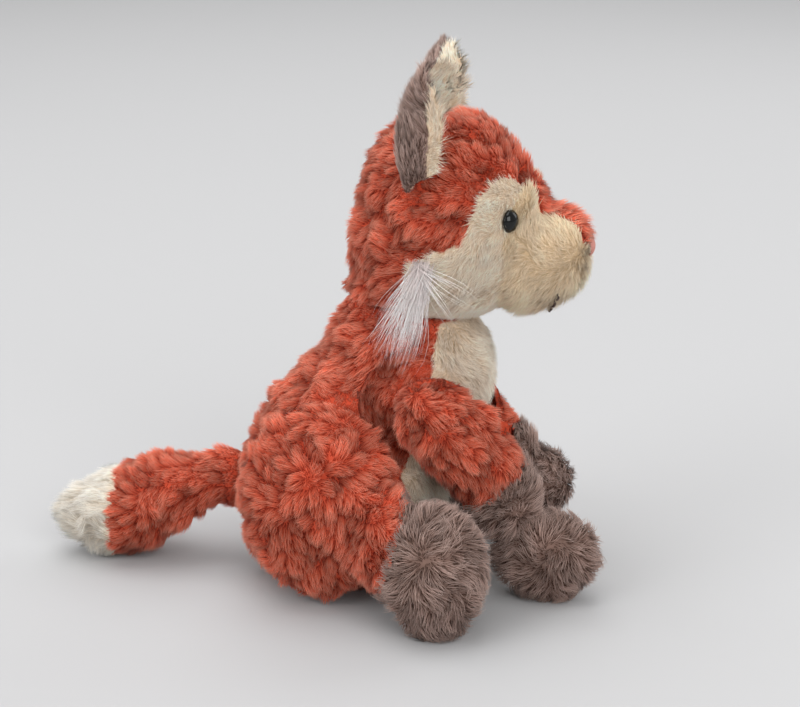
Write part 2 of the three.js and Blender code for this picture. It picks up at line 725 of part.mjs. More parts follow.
function buildArm(side, label) {
  const pose = armPoseShares[label];
  const stations = armStations(side, pose);
  const pawHalf = new THREE.Vector3(pawWidth / 2, pawLength / 2, pawHeight / 2);
  const pawMiddle = new THREE.Vector3(
    side * (armOut - pose.pawTuck * armTuck),
    shoulder.y - pose.pawReach * armReach,
    pawHeight / 2 - floorFlat + pose.pawLift * pawHeight,
  );
  const turn = side * THREE.MathUtils.degToRad(pose.pawTurn);
  const shapeAt = (inset) => {
    const whole = form(stations, null, inset).add(ball(pawMiddle, pawHalf, inset, turn));
    const radius = shoulderRadius + coverWall + inset;
    return whole.subtract(sideDisc(side, shoulder, radius, -overrun, shoulderFace + runningGap + inset));
  };
  const shell = without(shapeAt(0), [shapeAt(coverWall), floor]);
  const cuff = formRing(stations, null, cuffShare);
  const cuffNormal = cuff.wide.clone().cross(cuff.deep).normalize();
  const [sleeve, paw] = splitAt(shell, cuff.middle, cuffNormal);
  const pivot = new THREE.Vector3(side * shoulderFace, shoulder.y, shoulder.z);
  return bodyAt(pivot, [
    mesh(`arm_sleeve_${label}`, "coral", sleeve),
    mesh(`paw_${label}`, "taupe", paw),
    mesh(`arm_stuffing_${label}`, "filling", shapeAt(coverWall + seamGap)),
  ]);
}

// Way, width and depth from the middle of the haunch to the foot
const shankShares = [[0.05, 0, 0], [0.35, 1, 0.9], [0.7, 1, 0.9], [1.1, 0, 0]];

function buildLeg(side, label) {
  const haunchMiddle = new THREE.Vector3(side * hipFace, hip.y, hip.z);
  const haunchHalf = new THREE.Vector3(haunchThickness, haunchLength / 2, haunchHeight / 2);
  const footMiddle = new THREE.Vector3(
    side * (hipFace + footOut),
    hip.y - footForward,
    footHeight / 2 - floorFlat,
  );
  const footHalf = new THREE.Vector3(footWidth / 2, footLength / 2, footHeight / 2);
  const shankRun = footMiddle.clone().sub(haunchMiddle);
  const shank = shankShares.map(([share, width, depth]) => ({
    middle: haunchMiddle.clone().addScaledVector(shankRun, share),
    halfWidth: width * footWidth / 2,
    halfDepth: depth * footHeight / 2,
  }));
  const shapeAt = (inset) => {
    const face = side * (hipFace + runningGap + inset);
    return joined([
      ball(haunchMiddle, haunchHalf, inset),
      form(shank, forwardAxis, inset),
      ball(footMiddle, footHalf, inset),
    ]).subtract(block(
      new THREE.Vector3(Math.min(0, face), -torsoDepth - overrun, -overrun),
      new THREE.Vector3(Math.max(0, face), torsoDepth, torsoHeight + overrun),
    ));
  };
  const shell = without(shapeAt(0), [shapeAt(coverWall), floor]);
  const seamSpot = footMiddle.clone().addScaledVector(backAxis, soleSeamShare * footLength);
  const seamLean = THREE.MathUtils.degToRad(soleSeamLean);
  const [thigh, foot] = splitAt(shell, seamSpot, forwardAxis.clone().applyAxisAngle(acrossAxis, seamLean));
  return bodyAt(haunchMiddle, [
    mesh(`thigh_${label}`, "coral", thigh),
    mesh(`foot_${label}`, "taupe", foot),
    mesh(`leg_stuffing_${label}`, "filling", shapeAt(coverWall + seamGap)),
  ]);
}

// Length, fall and width along the tail
const tailShares = [
  [0.12, 0.18, 0.64],
  [0.3, 0.45, 0.86],
  [0.45, 0.68, 0.98],
  [0.6, 0.85, 0.92],
  [0.8, 1, 0.68],
];

function buildTail() {
  const tipUp = tailRoot.z - tailDrop;
  const stations = [
    { middle: tailRoot.clone().add(new THREE.Vector3(0, -tailRootRadius / 2, 0)) },
    ...tailShares.map(([length, fall, width]) => ({
      middle: new THREE.Vector3(0, tailRoot.y + length * tailLength, tailRoot.z - fall * tailDrop),
      halfWidth: width * tailWidth / 2,
      halfDepth: width * tailWidth / 2,
    })),
    { middle: new THREE.Vector3(0, tailRoot.y + tailLength, tipUp) },
  ];
  const shapeAt = (inset) => joined([
    form(stations, backAxis, inset),
    ball(tailRoot, new THREE.Vector3(tailRootRadius, tailRootRadius, tailRootRadius), inset),
  ]);
  const shell = without(shapeAt(0), [shapeAt(coverWall), floor]);
  const seamY = tailRoot.y + tipSeamShare * tailLength;
  const seamSpot = new THREE.Vector3(0, seamY, tipUp);
  const [cover, tip] = splitAt(shell, seamSpot, backAxis);
  return bodyAt(tailRoot, [
    mesh("tail_cover", "coral", cover),
    mesh("tail_tip", "cream", tip),
    mesh("tail_stuffing", "filling", shapeAt(coverWall + seamGap)),
  ]);
}

const group = new THREE.Group();
group.add(bodyAt(seat, buildTorso()));
group.add(bodyAt(neck, buildHead()));
group.add(buildEar(1, "left"));
group.add(buildEar(-1, "right"));
group.add(buildArm(1, "left"));
group.add(buildArm(-1, "right"));
group.add(buildLeg(1, "left"));
group.add(buildLeg(-1, "right"));
group.add(buildTail());

export default group;
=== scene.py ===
"""A seated plush fox with a long, combed pile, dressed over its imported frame.

Places are in metres, and the measures of piles, seams and stitches in millimetres. +Z is up,
the fox faces -Y and its left side is +X.
"""
import json
import logging
import math
from dataclasses import dataclass, field, replace
from enum import Enum

import bmesh
import bpy
import numpy as np
from mathutils import Matrix, Vector
from mathutils.bvhtree import BVHTree
from mathutils.kdtree import KDTree


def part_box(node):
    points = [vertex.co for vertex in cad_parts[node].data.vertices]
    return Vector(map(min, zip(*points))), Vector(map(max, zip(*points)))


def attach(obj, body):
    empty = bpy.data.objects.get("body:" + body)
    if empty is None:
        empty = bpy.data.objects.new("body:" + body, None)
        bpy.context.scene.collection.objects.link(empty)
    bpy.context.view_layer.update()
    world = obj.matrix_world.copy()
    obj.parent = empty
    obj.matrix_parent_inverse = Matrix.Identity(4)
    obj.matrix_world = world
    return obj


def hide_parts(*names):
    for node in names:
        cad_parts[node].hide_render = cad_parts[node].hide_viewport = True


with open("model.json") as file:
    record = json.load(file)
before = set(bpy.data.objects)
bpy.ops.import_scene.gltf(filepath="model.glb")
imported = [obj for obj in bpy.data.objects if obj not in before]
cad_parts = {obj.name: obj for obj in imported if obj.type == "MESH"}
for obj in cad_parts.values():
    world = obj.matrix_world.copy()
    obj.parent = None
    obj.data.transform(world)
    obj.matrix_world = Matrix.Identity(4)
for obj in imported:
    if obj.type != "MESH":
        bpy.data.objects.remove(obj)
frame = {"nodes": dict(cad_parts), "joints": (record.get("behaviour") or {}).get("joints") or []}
log = logging.getLogger("plush_fox")

MM = 0.001
WHITE_PAINT = (1.0, 1.0, 1.0, 1.0)

# The two waves that a comb wavers by, in radians per metre along each axis.
COMB_WAVES = np.array([[97.0, 143.0, 61.0], [-181.0, 59.0, 173.0]])

# The slanted axes that slow waves run along, where each starts, how far and at what share of
# its own rate each is bent by the next, and the height of their sum.
WAVE_AXES = np.array([[0.9, 0.4, -0.2], [-0.3, 0.8, 0.6], [0.4, -0.5, 0.8]])
WAVE_STARTS = np.array([1.0, 2.3, 3.7])
WAVE_BEND, WAVE_RATE, WAVE_HEIGHT = 1.2, 0.53, 2.2


class Side(Enum):
    """Which side of the fox a piece is on, with the sign of its X."""

    LEFT = 1
    RIGHT = -1

    @property
    def label(self) -> str:
        """The side's word in the names of nodes."""
        return self.name.lower()


class Flow(Enum):
    """How a pile is combed: one way, or outwards from a whorl."""

    ALONG = "along"
    FROM = "from"


@dataclass(frozen=True)
class Comb:
    """The way that a pile lies.

    Attributes:
        flow: Whether it is combed one way or from a whorl.
        vector: The way, or the whorl's middle.
        drift: An even lean that is added.
        swirl: How far the comb wavers.
    """

    flow: Flow
    vector: tuple[float, float, float]
    drift: tuple[float, float, float] = (0.0, 0.0, 0.0)
    swirl: float = 0.35

    def directions(self, points: np.ndarray, normals: np.ndarray, phase: float) -> np.ndarray:
        """The combed direction at each point.

        Args:
            points: Places on the cloth, one row each.
            normals: The cloth's outward directions there.
            phase: Where the slow waver of the comb starts.

        Returns:
            Unit directions along the cloth.
        """
        given = np.array(self.vector)
        ways = points - given if self.flow is Flow.FROM else np.tile(given, (len(points), 1))
        ways = unit(ways) + np.array(self.drift)
        ways = unit(ways - normals * np.sum(ways * normals, axis=1, keepdims=True))
        across = np.cross(normals, ways)
        waver = np.sin(points @ COMB_WAVES[0] + phase)
        waver += np.sin(points @ COMB_WAVES[1] + 2.0 * phase)
        return unit(ways + across * (self.swirl * waver)[:, None])


@dataclass(frozen=True)
class Pile:
    """How one plush cloth is cut: its hair, and the locks that the hair gathers in.

    Attributes:
        length: The length of a hair, in millimetres.
        thickness: Its width at the root, in millimetres.
        per_mm2: How many hairs grow on a square millimetre.
        lift: How far a hair stands up, as a share of its length.
        lock: The distance between locks, in millimetres.
        relief: How high a lock stands over its crevice, in millimetres.
        clump: The distance between the larger clumps, in millimetres.
        swell: How high a clump stands, in millimetres.
        gather: How far a hair's tip is drawn to its lock's tip, as a share.
        stretch: How many times longer than wide a lock is.
        inset: How far the skin is drawn in under the pile, in millimetres.
        stray: How far hairs commonly turn from their lock, in radians.
        wander: How far locks commonly turn from the comb, in radians.
        bend: How far hairs commonly bend sideways, as a share of their length.
        cut: How much shorter hairs in a crevice are, as a share.
        steps: How many straight lengths a hair has.
        roundness: How much a hair's shading follows its own round against the cloth's.
    """

    length: float
    thickness: float
    per_mm2: float
    lift: float
    lock: float = 5.0
    relief: float = 0.8
    clump: float = 14.0
    swell: float = 0.0
    gather: float = 0.3
    stretch: float = 1.5
    inset: float = 0.0
    stray: float = 0.25
    wander: float = 0.35
    bend: float = 0.1
    cut: float = 0.0
    steps: int = 1
    roundness: float = 0.5


SHAG = Pile(length=7.5, thickness=0.42, per_mm2=2.2, lift=0.62, lock=7.5, relief=4.4, clump=20.0,
            swell=3.4, gather=0.3, inset=3.8, stretch=2.8, stray=0.22, wander=0.42, cut=0.5)
FACE = Pile(length=6.5, thickness=0.32, per_mm2=2.6, lift=0.4, lock=6.0, relief=0.3, gather=0.05,
            inset=2.4, stray=0.35, wander=0.25)
MUZZLE = Pile(length=7.0, thickness=0.32, per_mm2=2.6, lift=0.55, lock=5.0, relief=0.5, gather=0.15,
              inset=1.6, stray=0.4, wander=0.3)
BIB = Pile(length=8.0, thickness=0.38, per_mm2=2.1, lift=0.5, lock=6.0, relief=0.9, clump=13.0, swell=1.0,
           gather=0.15, inset=2.4, stray=0.35)
SOCK = Pile(length=9.5, thickness=0.42, per_mm2=1.1, lift=0.45, lock=4.5, relief=1.6, clump=13.0, swell=1.6,
            gather=0.35, stretch=2.0, inset=3.4, stray=0.3, wander=0.45, cut=0.3, steps=2)
EAR_BACK = Pile(length=7.5, thickness=0.38, per_mm2=2.2, lift=0.34, lock=3.6, relief=0.3, gather=0.35,
                stretch=2.4, stray=0.18)
EAR_INNER = Pile(length=6.5, thickness=0.34, per_mm2=2.6, lift=0.4, lock=5.0, relief=0.3, gather=0.05,
                 stray=0.3)
BRIDGE = Pile(length=8.0, thickness=0.38, per_mm2=2.4, lift=0.6, lock=4.5, relief=1.4, gather=0.3,
              inset=1.6, stray=0.4, cut=0.2)
TIP = Pile(length=10.0, thickness=0.42, per_mm2=2.0, lift=0.55, lock=6.5, relief=1.6, clump=14.0, swell=1.8,
           gather=0.25, inset=3.6, stray=0.3, cut=0.3)
TUFT = Pile(length=50.0, thickness=0.28, per_mm2=1.0, lift=0.16, gather=0.82, bend=0.3, steps=7,
            roundness=2.5)


@dataclass(frozen=True)
class Dye:
    """The colours of one pile: its own colour, with painted shade at the root and in crevices and a painted
    highlight at the tip.

    Attributes:
        slot: The material's slot in the record.
        root: The colour at a hair's root, darker than the body as painted shade deep in the pile.
        body: The colour of most of the hair.
        tip: The colour at its tip, lighter than the body as a painted highlight.
        deep: The brightness of a hair in a crevice, as painted shade.
        roughness: The roughness where nothing else is linked.
        sheen: The weight of the cloth's sheen.
    """

    slot: str
    root: str
    body: str
    tip: str
    deep: float = 0.5
    roughness: float = 0.8
    sheen: float = 0.05


# Each pile's colours: the body is the cloth's own colour, the darker root is painted shade deep in the pile,
# the lighter tip is a painted highlight, and deep is the painted shade of a crevice.
CORAL = Dye("coral_plush", root="#942713", body="#ef6b4d", tip="#ffa78c", deep=0.34)
CREAM = Dye("cream_plush", root="#cfb291", body="#f1dcc4", tip="#fdf0df", deep=0.78)
MUZZLE_CREAM = Dye("cream_plush", root="#d0b48e", body="#e7ceae", tip="#f4dfc4", deep=0.84)
TIP_CREAM = Dye("cream_plush", root="#dccbb4", body="#f1e7d7", tip="#faf4ea", deep=0.7)
TAUPE = Dye("taupe_plush", root="#543c32", body="#a6897e", tip="#cfb5aa", deep=0.42)
WHITE = Dye("white_hair", root="#d8cbc8", body="#f5edeb", tip="#fffcfc", deep=0.7)


def unit(rows: np.ndarray) -> np.ndarray:
    """Each row scaled to a length of one."""
    return rows / np.maximum(np.linalg.norm(rows, axis=1, keepdims=True), 1e-12)


def turned(ways: np.ndarray, normals: np.ndarray, angles: np.ndarray) -> np.ndarray:
    """Directions along the cloth turned about its normals, each by its own angle."""
    angles = angles[:, None]
    return unit(ways * np.cos(angles) + np.cross(normals, ways) * np.sin(angles))


def waves(points: np.ndarray, length: float, phase: float) -> np.ndarray:
    """A slow, even rise and fall over space.

    Args:
        points: Places, one row each.
        length: How far apart the rises are, in millimetres.
        phase: Where they start.

    Returns:
        About -1 to 1 at each place.
    """
    axes = WAVE_AXES * (math.tau / (length * MM))
    steps = points @ axes.T + phase * WAVE_STARTS
    bent = steps + WAVE_BEND * np.sin(WAVE_RATE * np.roll(steps, 1, axis=1))
    return np.sin(bent).sum(axis=1) / WAVE_HEIGHT


def linear(code: str) -> tuple[float, float, float, float]:
    """A written colour as the linear values that a shader takes, by the sRGB curve.

    Args:
        code: The colour, as # and six figures.

    Returns:
        Red, green, blue and a full alpha.
    """
    parts = [int(code[i:i + 2], 16) / 255 for i in (1, 3, 5)]
    red, green, blue = (p / 12.92 if p <= 0.04045 else ((p + 0.055) / 1.055) ** 2.4 for p in parts)
    return red, green, blue, 1.0


class Shader:
    """A node tree with short ways to add nodes and link them."""

    def __init__(self, tree: bpy.types.NodeTree) -> None:
        """Keeps the tree that nodes are added to."""
        self.tree = tree

    def add(self, kind: str, values: dict | None = None, **settings: object) -> bpy.types.Node:
        """Adds one node.

        Args:
            kind: The node's type, without its ShaderNode prefix.
            values: What its unlinked inputs are set to, by name or number.
            settings: What its own properties are set to.

        Returns:
            The new node.
        """
        node = self.tree.nodes.new(kind if kind.startswith("Node") else f"ShaderNode{kind}")
        for key, value in settings.items():
            setattr(node, key, value)
        for key, value in (values or {}).items():
            if isinstance(value, bpy.types.NodeSocket):
                self.tree.links.new(value, node.inputs[key])
            else:
                node.inputs[key].default_value = value
        return node

    def math(self, operation: str, *terms: object) -> bpy.types.NodeSocket:
        """One sum on two or three numbers or sockets, and its result."""
        return self.add("Math", dict(enumerate(terms)), operation=operation).outputs[0]

    def link(self, value: bpy.types.NodeSocket, node: bpy.types.Node, name: str) -> None:
        """Links a value to one of a node's inputs."""
        self.tree.links.new(value, node.inputs[name])

    def spread(self, value: object, low: float, high: float, to_low: object, to_high: float,
               smooth: bool = False) -> bpy.types.NodeSocket:
        """A value moved from one range to another, kept within its ends.

        Args:
            value: The number or socket that is moved.
            low: The start of its own range.
            high: The end of its own range.
            to_low: What the start becomes.
            to_high: What the end becomes.
            smooth: Whether it eases in and out.

        Returns:
            The moved value.
        """
        kind = "SMOOTHSTEP" if smooth else "LINEAR"
        node = self.add("MapRange", {0: value, 1: low, 2: high, 3: to_low, 4: to_high},
                        interpolation_type=kind)
        return node.outputs[0]

    def blend(self, share: object, first: object, second: object) -> bpy.types.NodeSocket:
        """Two colours mixed by a share."""
        return self.add("Mix", {0: share, 6: first, 7: second}, data_type="RGBA").outputs[2]

    def scaled(self, colour: object, level: object) -> bpy.types.NodeSocket:
        """A colour made lighter or darker."""
        return self.add("VectorMath", {0: colour, "Scale": level}, operation="SCALE").outputs[0]

    def noise(self, scale: object, detail: float) -> bpy.types.NodeSocket:
        """Soft noise over the piece's own space."""
        place = self.add("TexCoord").outputs["Object"]
        return self.add("TexNoise", {"Vector": place, "Scale": scale, "Detail": detail}).outputs["Fac"]


def new_group(name: str, inputs: dict[str, object], outputs: dict[str, str]) -> tuple[
        bpy.types.NodeTree, Shader, bpy.types.Node, bpy.types.Node]:
    """An empty shader node group with named sockets.

    Args:
        name: The group's name.
        inputs: Each input's starting value, a colour or a number.
        outputs: Each output's socket type.

    Returns:
        The group, its Shader, its input node and its output node.
    """
    group = bpy.data.node_groups.new(name, "ShaderNodeTree")
    for label, value in inputs.items():
        kind = "NodeSocketFloat" if isinstance(value, float) else "NodeSocketColor"
        group.interface.new_socket(label, in_out="INPUT", socket_type=kind).default_value = value
    for label, kind in outputs.items():
        group.interface.new_socket(label, in_out="OUTPUT", socket_type=kind)
    shader = Shader(group)
    return group, shader, shader.add("NodeGroupInput"), shader.add("NodeGroupOutput")


@dataclass(frozen=True)
class PileShade:
    """How the colour of every pile changes, with its painted shade and highlights, each pair from low to
    high.

    Attributes:
        lower: Where along a hair the root's painted shade gives way to the body's colour.
        upper: Where along a hair the body's colour gives way to the tip's painted highlight.
        tones: The brightness of the darkest and of the lightest hair.
        ridge: The brightness of a hair on a ridge, as painted light.
        patches: The brightness of slow patches over the cloth.
        patch_scale: How small the patches are.
        limit: The lightest that a hair may be.
        roughness: The roughness of the smoothest and of the roughest hair.
    """

    lower: tuple[float, float] = (0.0, 0.55)
    upper: tuple[float, float] = (0.45, 1.0)
    tones: tuple[float, float] = (0.88, 1.14)
    ridge: float = 1.16
    patches: tuple[float, float] = (0.94, 1.08)
    patch_scale: float = 45.0
    limit: float = 0.93
    roughness: tuple[float, float] = (0.62, 0.82)


@dataclass(frozen=True)
class Grain:
    """How a surface varies.

    Attributes:
        scale: How fine its grain is.
        amount: How much its colour varies.
        height: How high the grain stands, in millimetres.
        strength: The strength of its bump.
    """

    scale: float
    amount: float
    height: float
    strength: float = 0.5


class Finishes:
    """Every material of the fox, each made once."""

    def __init__(self) -> None:
        """Makes the shared groups."""
        self.made: dict[str, bpy.types.Material] = {}
        self.pile_colour = self.build_pile_colour(PileShade())
        self.mottle = self.build_mottle()

    def build_pile_colour(self, shade: PileShade) -> bpy.types.NodeTree:
        """The colour of one hair, with painted shade: darker at its root and where its lock lies deep, and
        lighter at its tip and on a ridge as painted light.

        Args:
            shade: How the colour changes.

        Returns:
            The node group.
        """
        starts = {"Root": WHITE_PAINT, "Body": WHITE_PAINT, "Tip": WHITE_PAINT, "Hair": 0.5,
                  "Along": 0.5, "Depth": 0.5, "Deep": 0.5}
        outputs = {"Color": "NodeSocketColor", "Roughness": "NodeSocketFloat"}
        group, shader, into, out = new_group("pile_colour", starts, outputs)
        given = into.outputs
        # The root's painted shade and the tip's painted highlight along the hair.
        lower = shader.spread(given["Along"], *shade.lower, 0.0, 1.0, smooth=True)
        upper = shader.spread(given["Along"], *shade.upper, 0.0, 1.0, smooth=True)
        stem = shader.blend(lower, given["Root"], given["Body"])
        hair = shader.blend(upper, stem, given["Tip"])
        tone = shader.spread(given["Hair"], 0.0, 1.0, *shade.tones)
        # The painted shade of a crevice and the painted light of a ridge.
        deep = shader.spread(given["Depth"], 0.0, 1.0, given["Deep"], shade.ridge)
        patch = shader.spread(shader.noise(shade.patch_scale, 2.0), 0.3, 0.7, *shade.patches)
        level = shader.math("MULTIPLY", shader.math("MULTIPLY", tone, deep), patch)
        capped = shader.add("VectorMath", {0: shader.scaled(hair, level), 1: (shade.limit,) * 3},
                            operation="MINIMUM")
        shader.link(capped.outputs[0], out, "Color")
        shader.link(shader.spread(given["Hair"], 0.0, 1.0, *shade.roughness), out, "Roughness")
        return group

    def build_mottle(self) -> bpy.types.NodeTree:
        """A colour varied a little over the piece, with a height for its bump.

        Returns:
            The node group.
        """
        starts = {"Color": WHITE_PAINT, "Scale": 200.0, "Amount": 0.1}
        outputs = {"Color": "NodeSocketColor", "Height": "NodeSocketFloat"}
        group, shader, into, out = new_group("mottle", starts, outputs)
        grain = shader.noise(into.outputs["Scale"], 3.0)
        swing = shader.math("SUBTRACT", grain, 0.5)
        level = shader.math("MULTIPLY_ADD", swing, into.outputs["Amount"], 1.0)
        shader.link(shader.scaled(into.outputs["Color"], level), out, "Color")
        shader.link(grain, out, "Height")
        return group

    def start(self, name: str, roughness: float, sheen: float = 0.0,
              specular: float = 0.5) -> tuple[Shader, bpy.types.Node]:
        """A new material with its Principled shader.

        Args:
            name: The material's name.
            roughness: The roughness where nothing else is linked.
            sheen: The weight of the cloth's sheen.
            specular: The specular level.

        Returns:
            The material's Shader and its Principled node.
        """
        material = bpy.data.materials.new(name)
        material.use_nodes = True
        material.node_tree.nodes.clear()
        shader = Shader(material.node_tree)
        surface = shader.add("BsdfPrincipled", {"Roughness": roughness, "Sheen Weight": sheen,
                                                "Specular IOR Level": specular})
        shader.link(surface.outputs[0], shader.add("OutputMaterial"), "Surface")
        self.made[name] = material
        return shader, surface

    def vary(self, shader: Shader, surface: bpy.types.Node, colour: object, grain: Grain) -> None:
        """Gives a surface its colour and its raised grain.

        Args:
            shader: The material's Shader.
            surface: Its Principled node.
            colour: The colour or socket that is varied.
            grain: How it varies.
        """
        varied = shader.add("Group", {"Color": colour, "Scale": grain.scale, "Amount": grain.amount},
                            node_tree=self.mottle)
        shader.link(varied.outputs["Color"], surface, "Base Color")
        bump = shader.add("Bump", {"Strength": grain.strength, "Distance": grain.height * MM,
                                   "Height": varied.outputs["Height"]})
        shader.link(bump.outputs[0], surface, "Normal")

    def pile(self, dye: Dye, name: str) -> bpy.types.Material:
        """The material of a pile's hairs, which read their own attribute: a random tone, the place along the
        hair and how deep it lies, which give its painted shade and highlight.

        Args:
            dye: The pile's colours.
            name: The material's name.

        Returns:
            The material.
        """
        if name in self.made:
            return self.made[name]
        shader, surface = self.start(name, dye.roughness, dye.sheen, specular=0.12)
        strand = shader.add("Attribute", attribute_name="hair")
        parts = shader.add("SeparateColor", {0: strand.outputs["Color"]})
        colour = shader.add("Group", {"Deep": dye.deep}, node_tree=self.pile_colour)
        for label, code in (("Root", dye.root), ("Body", dye.body), ("Tip", dye.tip)):
            colour.inputs[label].default_value = linear(code)
        for part, label in enumerate(("Hair", "Along", "Depth")):
            shader.link(parts.outputs[part], colour, label)
        shader.link(colour.outputs["Color"], surface, "Base Color")
        shader.link(colour.outputs["Roughness"], surface, "Roughness")
        return self.made[name]

    def backing(self) -> bpy.types.Material:
        """The cloth under the pile, in each panel's colours mixed with painted shade.

        Returns:
            The material.
        """
        if "backing" not in self.made:
            shader, surface = self.start("backing", roughness=0.95, specular=0.1)
            dye_with_shade = shader.add("Attribute", attribute_name="dye")
            self.vary(shader, surface, dye_with_shade.outputs["Color"], Grain(420.0, 0.5, 0.6, strength=0.6))
        return self.made["backing"]

    def plain(self, name: str, code: str, roughness: float, grain: Grain, specular: float = 0.5,
              coat: float = 0.0) -> bpy.types.Material:
        """A moulded, sewn or filled material with its own grain.

        Args:
            name: The material's name.
            code: Its colour.
            roughness: Its roughness.
            grain: How it varies.
            specular: The specular level.
            coat: The weight of a clear coat.

        Returns:
            The material.
        """
        if name not in self.made:
            shader, surface = self.start(name, roughness, specular=specular)
            surface.inputs["Coat Weight"].default_value = coat
            self.vary(shader, surface, linear(code), grain)
        return self.made[name]


@dataclass(frozen=True)
class Panel:
    """One sewn panel.

    Attributes:
        node: Its CAD node.
        pile: How its pile is cut.
        dye: Its pile's colours.
        comb: The way that its pile lies.
        piece: The name of its pile's piece.
    """

    node: str
    pile: Pile
    dye: Dye
    comb: Comb
    piece: str


def cad_points(name: str) -> np.ndarray:
    """The corners of a CAD node, one row each."""
    return vectors(frame["nodes"][name].data.vertices, "co")


def vectors(rows: bpy.types.bpy_prop_collection, label: str) -> np.ndarray:
    """One vector of every item in a mesh's collection.

    Args:
        rows: The collection.
        label: The vector's name.

    Returns:
        One row for each item.
    """
    values = np.zeros(len(rows) * 3)
    rows.foreach_get(label, values)
    return values.reshape(-1, 3)


def corners_of(mesh: bpy.types.Mesh) -> tuple[np.ndarray, np.ndarray]:
    """A mesh's corners and their normals, one row each."""
    return vectors(mesh.vertices, "co"), vectors(mesh.vertex_normals, "vector")


def cad_copy(names: list[str]) -> bmesh.types.BMesh:
    """Copies CAD nodes.

    Args:
        names: The nodes.

    Returns:
        Their meshes, merged corner to corner in one bmesh.
    """
    whole = bmesh.new()
    for name in names:
        whole.from_mesh(frame["nodes"][name].data)
    bmesh.ops.remove_doubles(whole, verts=whole.verts, dist=0.001 * MM)
    return whole


def surface_tree(names: list[str]) -> BVHTree:
    """Makes a search tree over the surfaces of CAD nodes.

    Args:
        names: The nodes.

    Returns:
        The tree.
    """
    whole = cad_copy(names)
    tree = BVHTree.FromBMesh(whole)
    whole.free()
    return tree


def point_tree(points: np.ndarray) -> KDTree:
    """Makes a search tree over places.

    Args:
        points: The places, one row each.

    Returns:
        The tree, which knows each place by its row.
    """
    tree = KDTree(len(points))
    for index, spot in enumerate(points):
        tree.insert(spot, index)
    tree.balance()
    return tree


def place(name: str, mesh: bpy.types.Mesh, material: bpy.types.Material) -> bpy.types.Object:
    """Puts a mesh in the scene.

    Args:
        name: The object's name.
        mesh: Its mesh, in its place.
        material: Its material.

    Returns:
        The smooth-shaded object, at the origin.
    """
    piece = bpy.data.objects.new(name, mesh)
    bpy.context.collection.objects.link(piece)
    mesh.materials.append(material)
    mesh.polygons.foreach_set("use_smooth", [True] * len(mesh.polygons))
    return piece


def mesh_from(name: str, shape: bmesh.types.BMesh) -> bpy.types.Mesh:
    """Makes a mesh from a finished bmesh, which is freed.

    Args:
        name: The mesh's name.
        shape: The bmesh.

    Returns:
        The mesh.
    """
    mesh = bpy.data.meshes.new(name)
    shape.to_mesh(mesh)
    shape.free()
    return mesh


def largest_island(shape: bmesh.types.BMesh) -> None:
    """Deletes every loose part of a bmesh but the largest.

    Args:
        shape: The bmesh.
    """
    left = set(shape.verts)
    best: set = set()
    while left:
        start = left.pop()
        island, edge = {start}, [start]
        while edge:
            for link in edge.pop().link_edges:
                for vert in link.verts:
                    if vert in left:
                        left.discard(vert)
                        island.add(vert)
                        edge.append(vert)
        best = island if len(island) > len(best) else best
    stray = [vert for vert in shape.verts if vert not in best]
    bmesh.ops.delete(shape, geom=stray, context="VERTS")


def remeshed(name: str, nodes: list[str], voxel: float, smoothing: int,
             hollow: bool = False) -> bpy.types.Mesh:
    """CAD nodes joined over their seams into one smooth mesh of triangles.

    Args:
        name: The mesh's name.
        nodes: The CAD nodes.
        voxel: The remesh size, in millimetres.
        smoothing: How many times the mesh is smoothed.
        hollow: Whether the spaces inside are kept.

    Returns:
        The mesh, closed and facing outwards.
    """
    maker = bpy.data.objects.new(f"{name}_raw", mesh_from(f"{name}_raw", cad_copy(nodes)))
    bpy.context.collection.objects.link(maker)
    remesh = maker.modifiers.new("remesh", "REMESH")
    remesh.mode = "VOXEL"
    remesh.voxel_size = voxel * MM
    evaluated = maker.evaluated_get(bpy.context.evaluated_depsgraph_get())
    shape = bmesh.new()
    shape.from_mesh(evaluated.to_mesh())
    evaluated.to_mesh_clear()
    bpy.data.objects.remove(maker)
    if not hollow:
        largest_island(shape)
    for _ in range(smoothing):
        bmesh.ops.smooth_vert(shape, verts=shape.verts, factor=0.5, use_axis_x=True,
                              use_axis_y=True, use_axis_z=True)
    bmesh.ops.triangulate(shape, faces=shape.faces)
    if not hollow:
        bmesh.ops.recalc_face_normals(shape, faces=shape.faces)
    return mesh_from(name, shape)


# How many locks round a place are looked at, how wide a crevice is as a share of the distance
# between locks, and how sharply it falls.
LOCKS_ROUND = 6
CREVICE_WIDTH, CREVICE_FALL = 0.8, 0.7


@dataclass
class Locks:
    """The locks that one panel's hair gathers in.

    Attributes:
        places: The place of each lock's root.
        normals: The cloth's outward directions there.
        ways: The way that each lock lies.
        turns: How far each is turned from the comb, in radians.
        stretch: How many times longer than wide they are.
        spacing: The distance between them, in metres.
        tree: The search tree over their places.
    """

    places: np.ndarray
    normals: np.ndarray
    ways: np.ndarray
    turns: np.ndarray
    stretch: float
    spacing: float
    tree: KDTree = field(init=False)

    def __post_init__(self) -> None:
        """Builds the search tree."""
        self.tree = point_tree(self.places)

    def candidates(self, points: np.ndarray) -> np.ndarray:
        """The numbers of the locks round each point."""
        count = min(LOCKS_ROUND, len(self.places))
        return np.array([[hit[1] for hit in self.tree.find_n(p, count)] for p in points])

    def nearest(self, points: np.ndarray, found: np.ndarray) -> tuple[np.ndarray, np.ndarray]:
        """The lock that each point belongs to, and how deep the point lies between locks.

        Args:
            points: Places on the cloth.
            found: The numbers of the locks round each point.

        Returns:
            The locks' numbers, and 0 in a crevice to 1 on a lock's ridge.
        """
        offset = points[:, None, :] - self.places[found]
        along = np.sum(offset * self.ways[found], axis=2)
        whole = np.sum(offset * offset, axis=2)
        size = np.sqrt(np.maximum(whole - along ** 2, 0.0) + (along / self.stretch) ** 2)
        order = np.argsort(size, axis=1)
        rows = np.arange(len(points))
        own, second = order[:, 0], order[:, 1]
        gap = (size[rows, second] - size[rows, own]) / self.spacing
        return found[rows, own], np.clip(gap / CREVICE_WIDTH, 0.0, 1.0) ** CREVICE_FALL


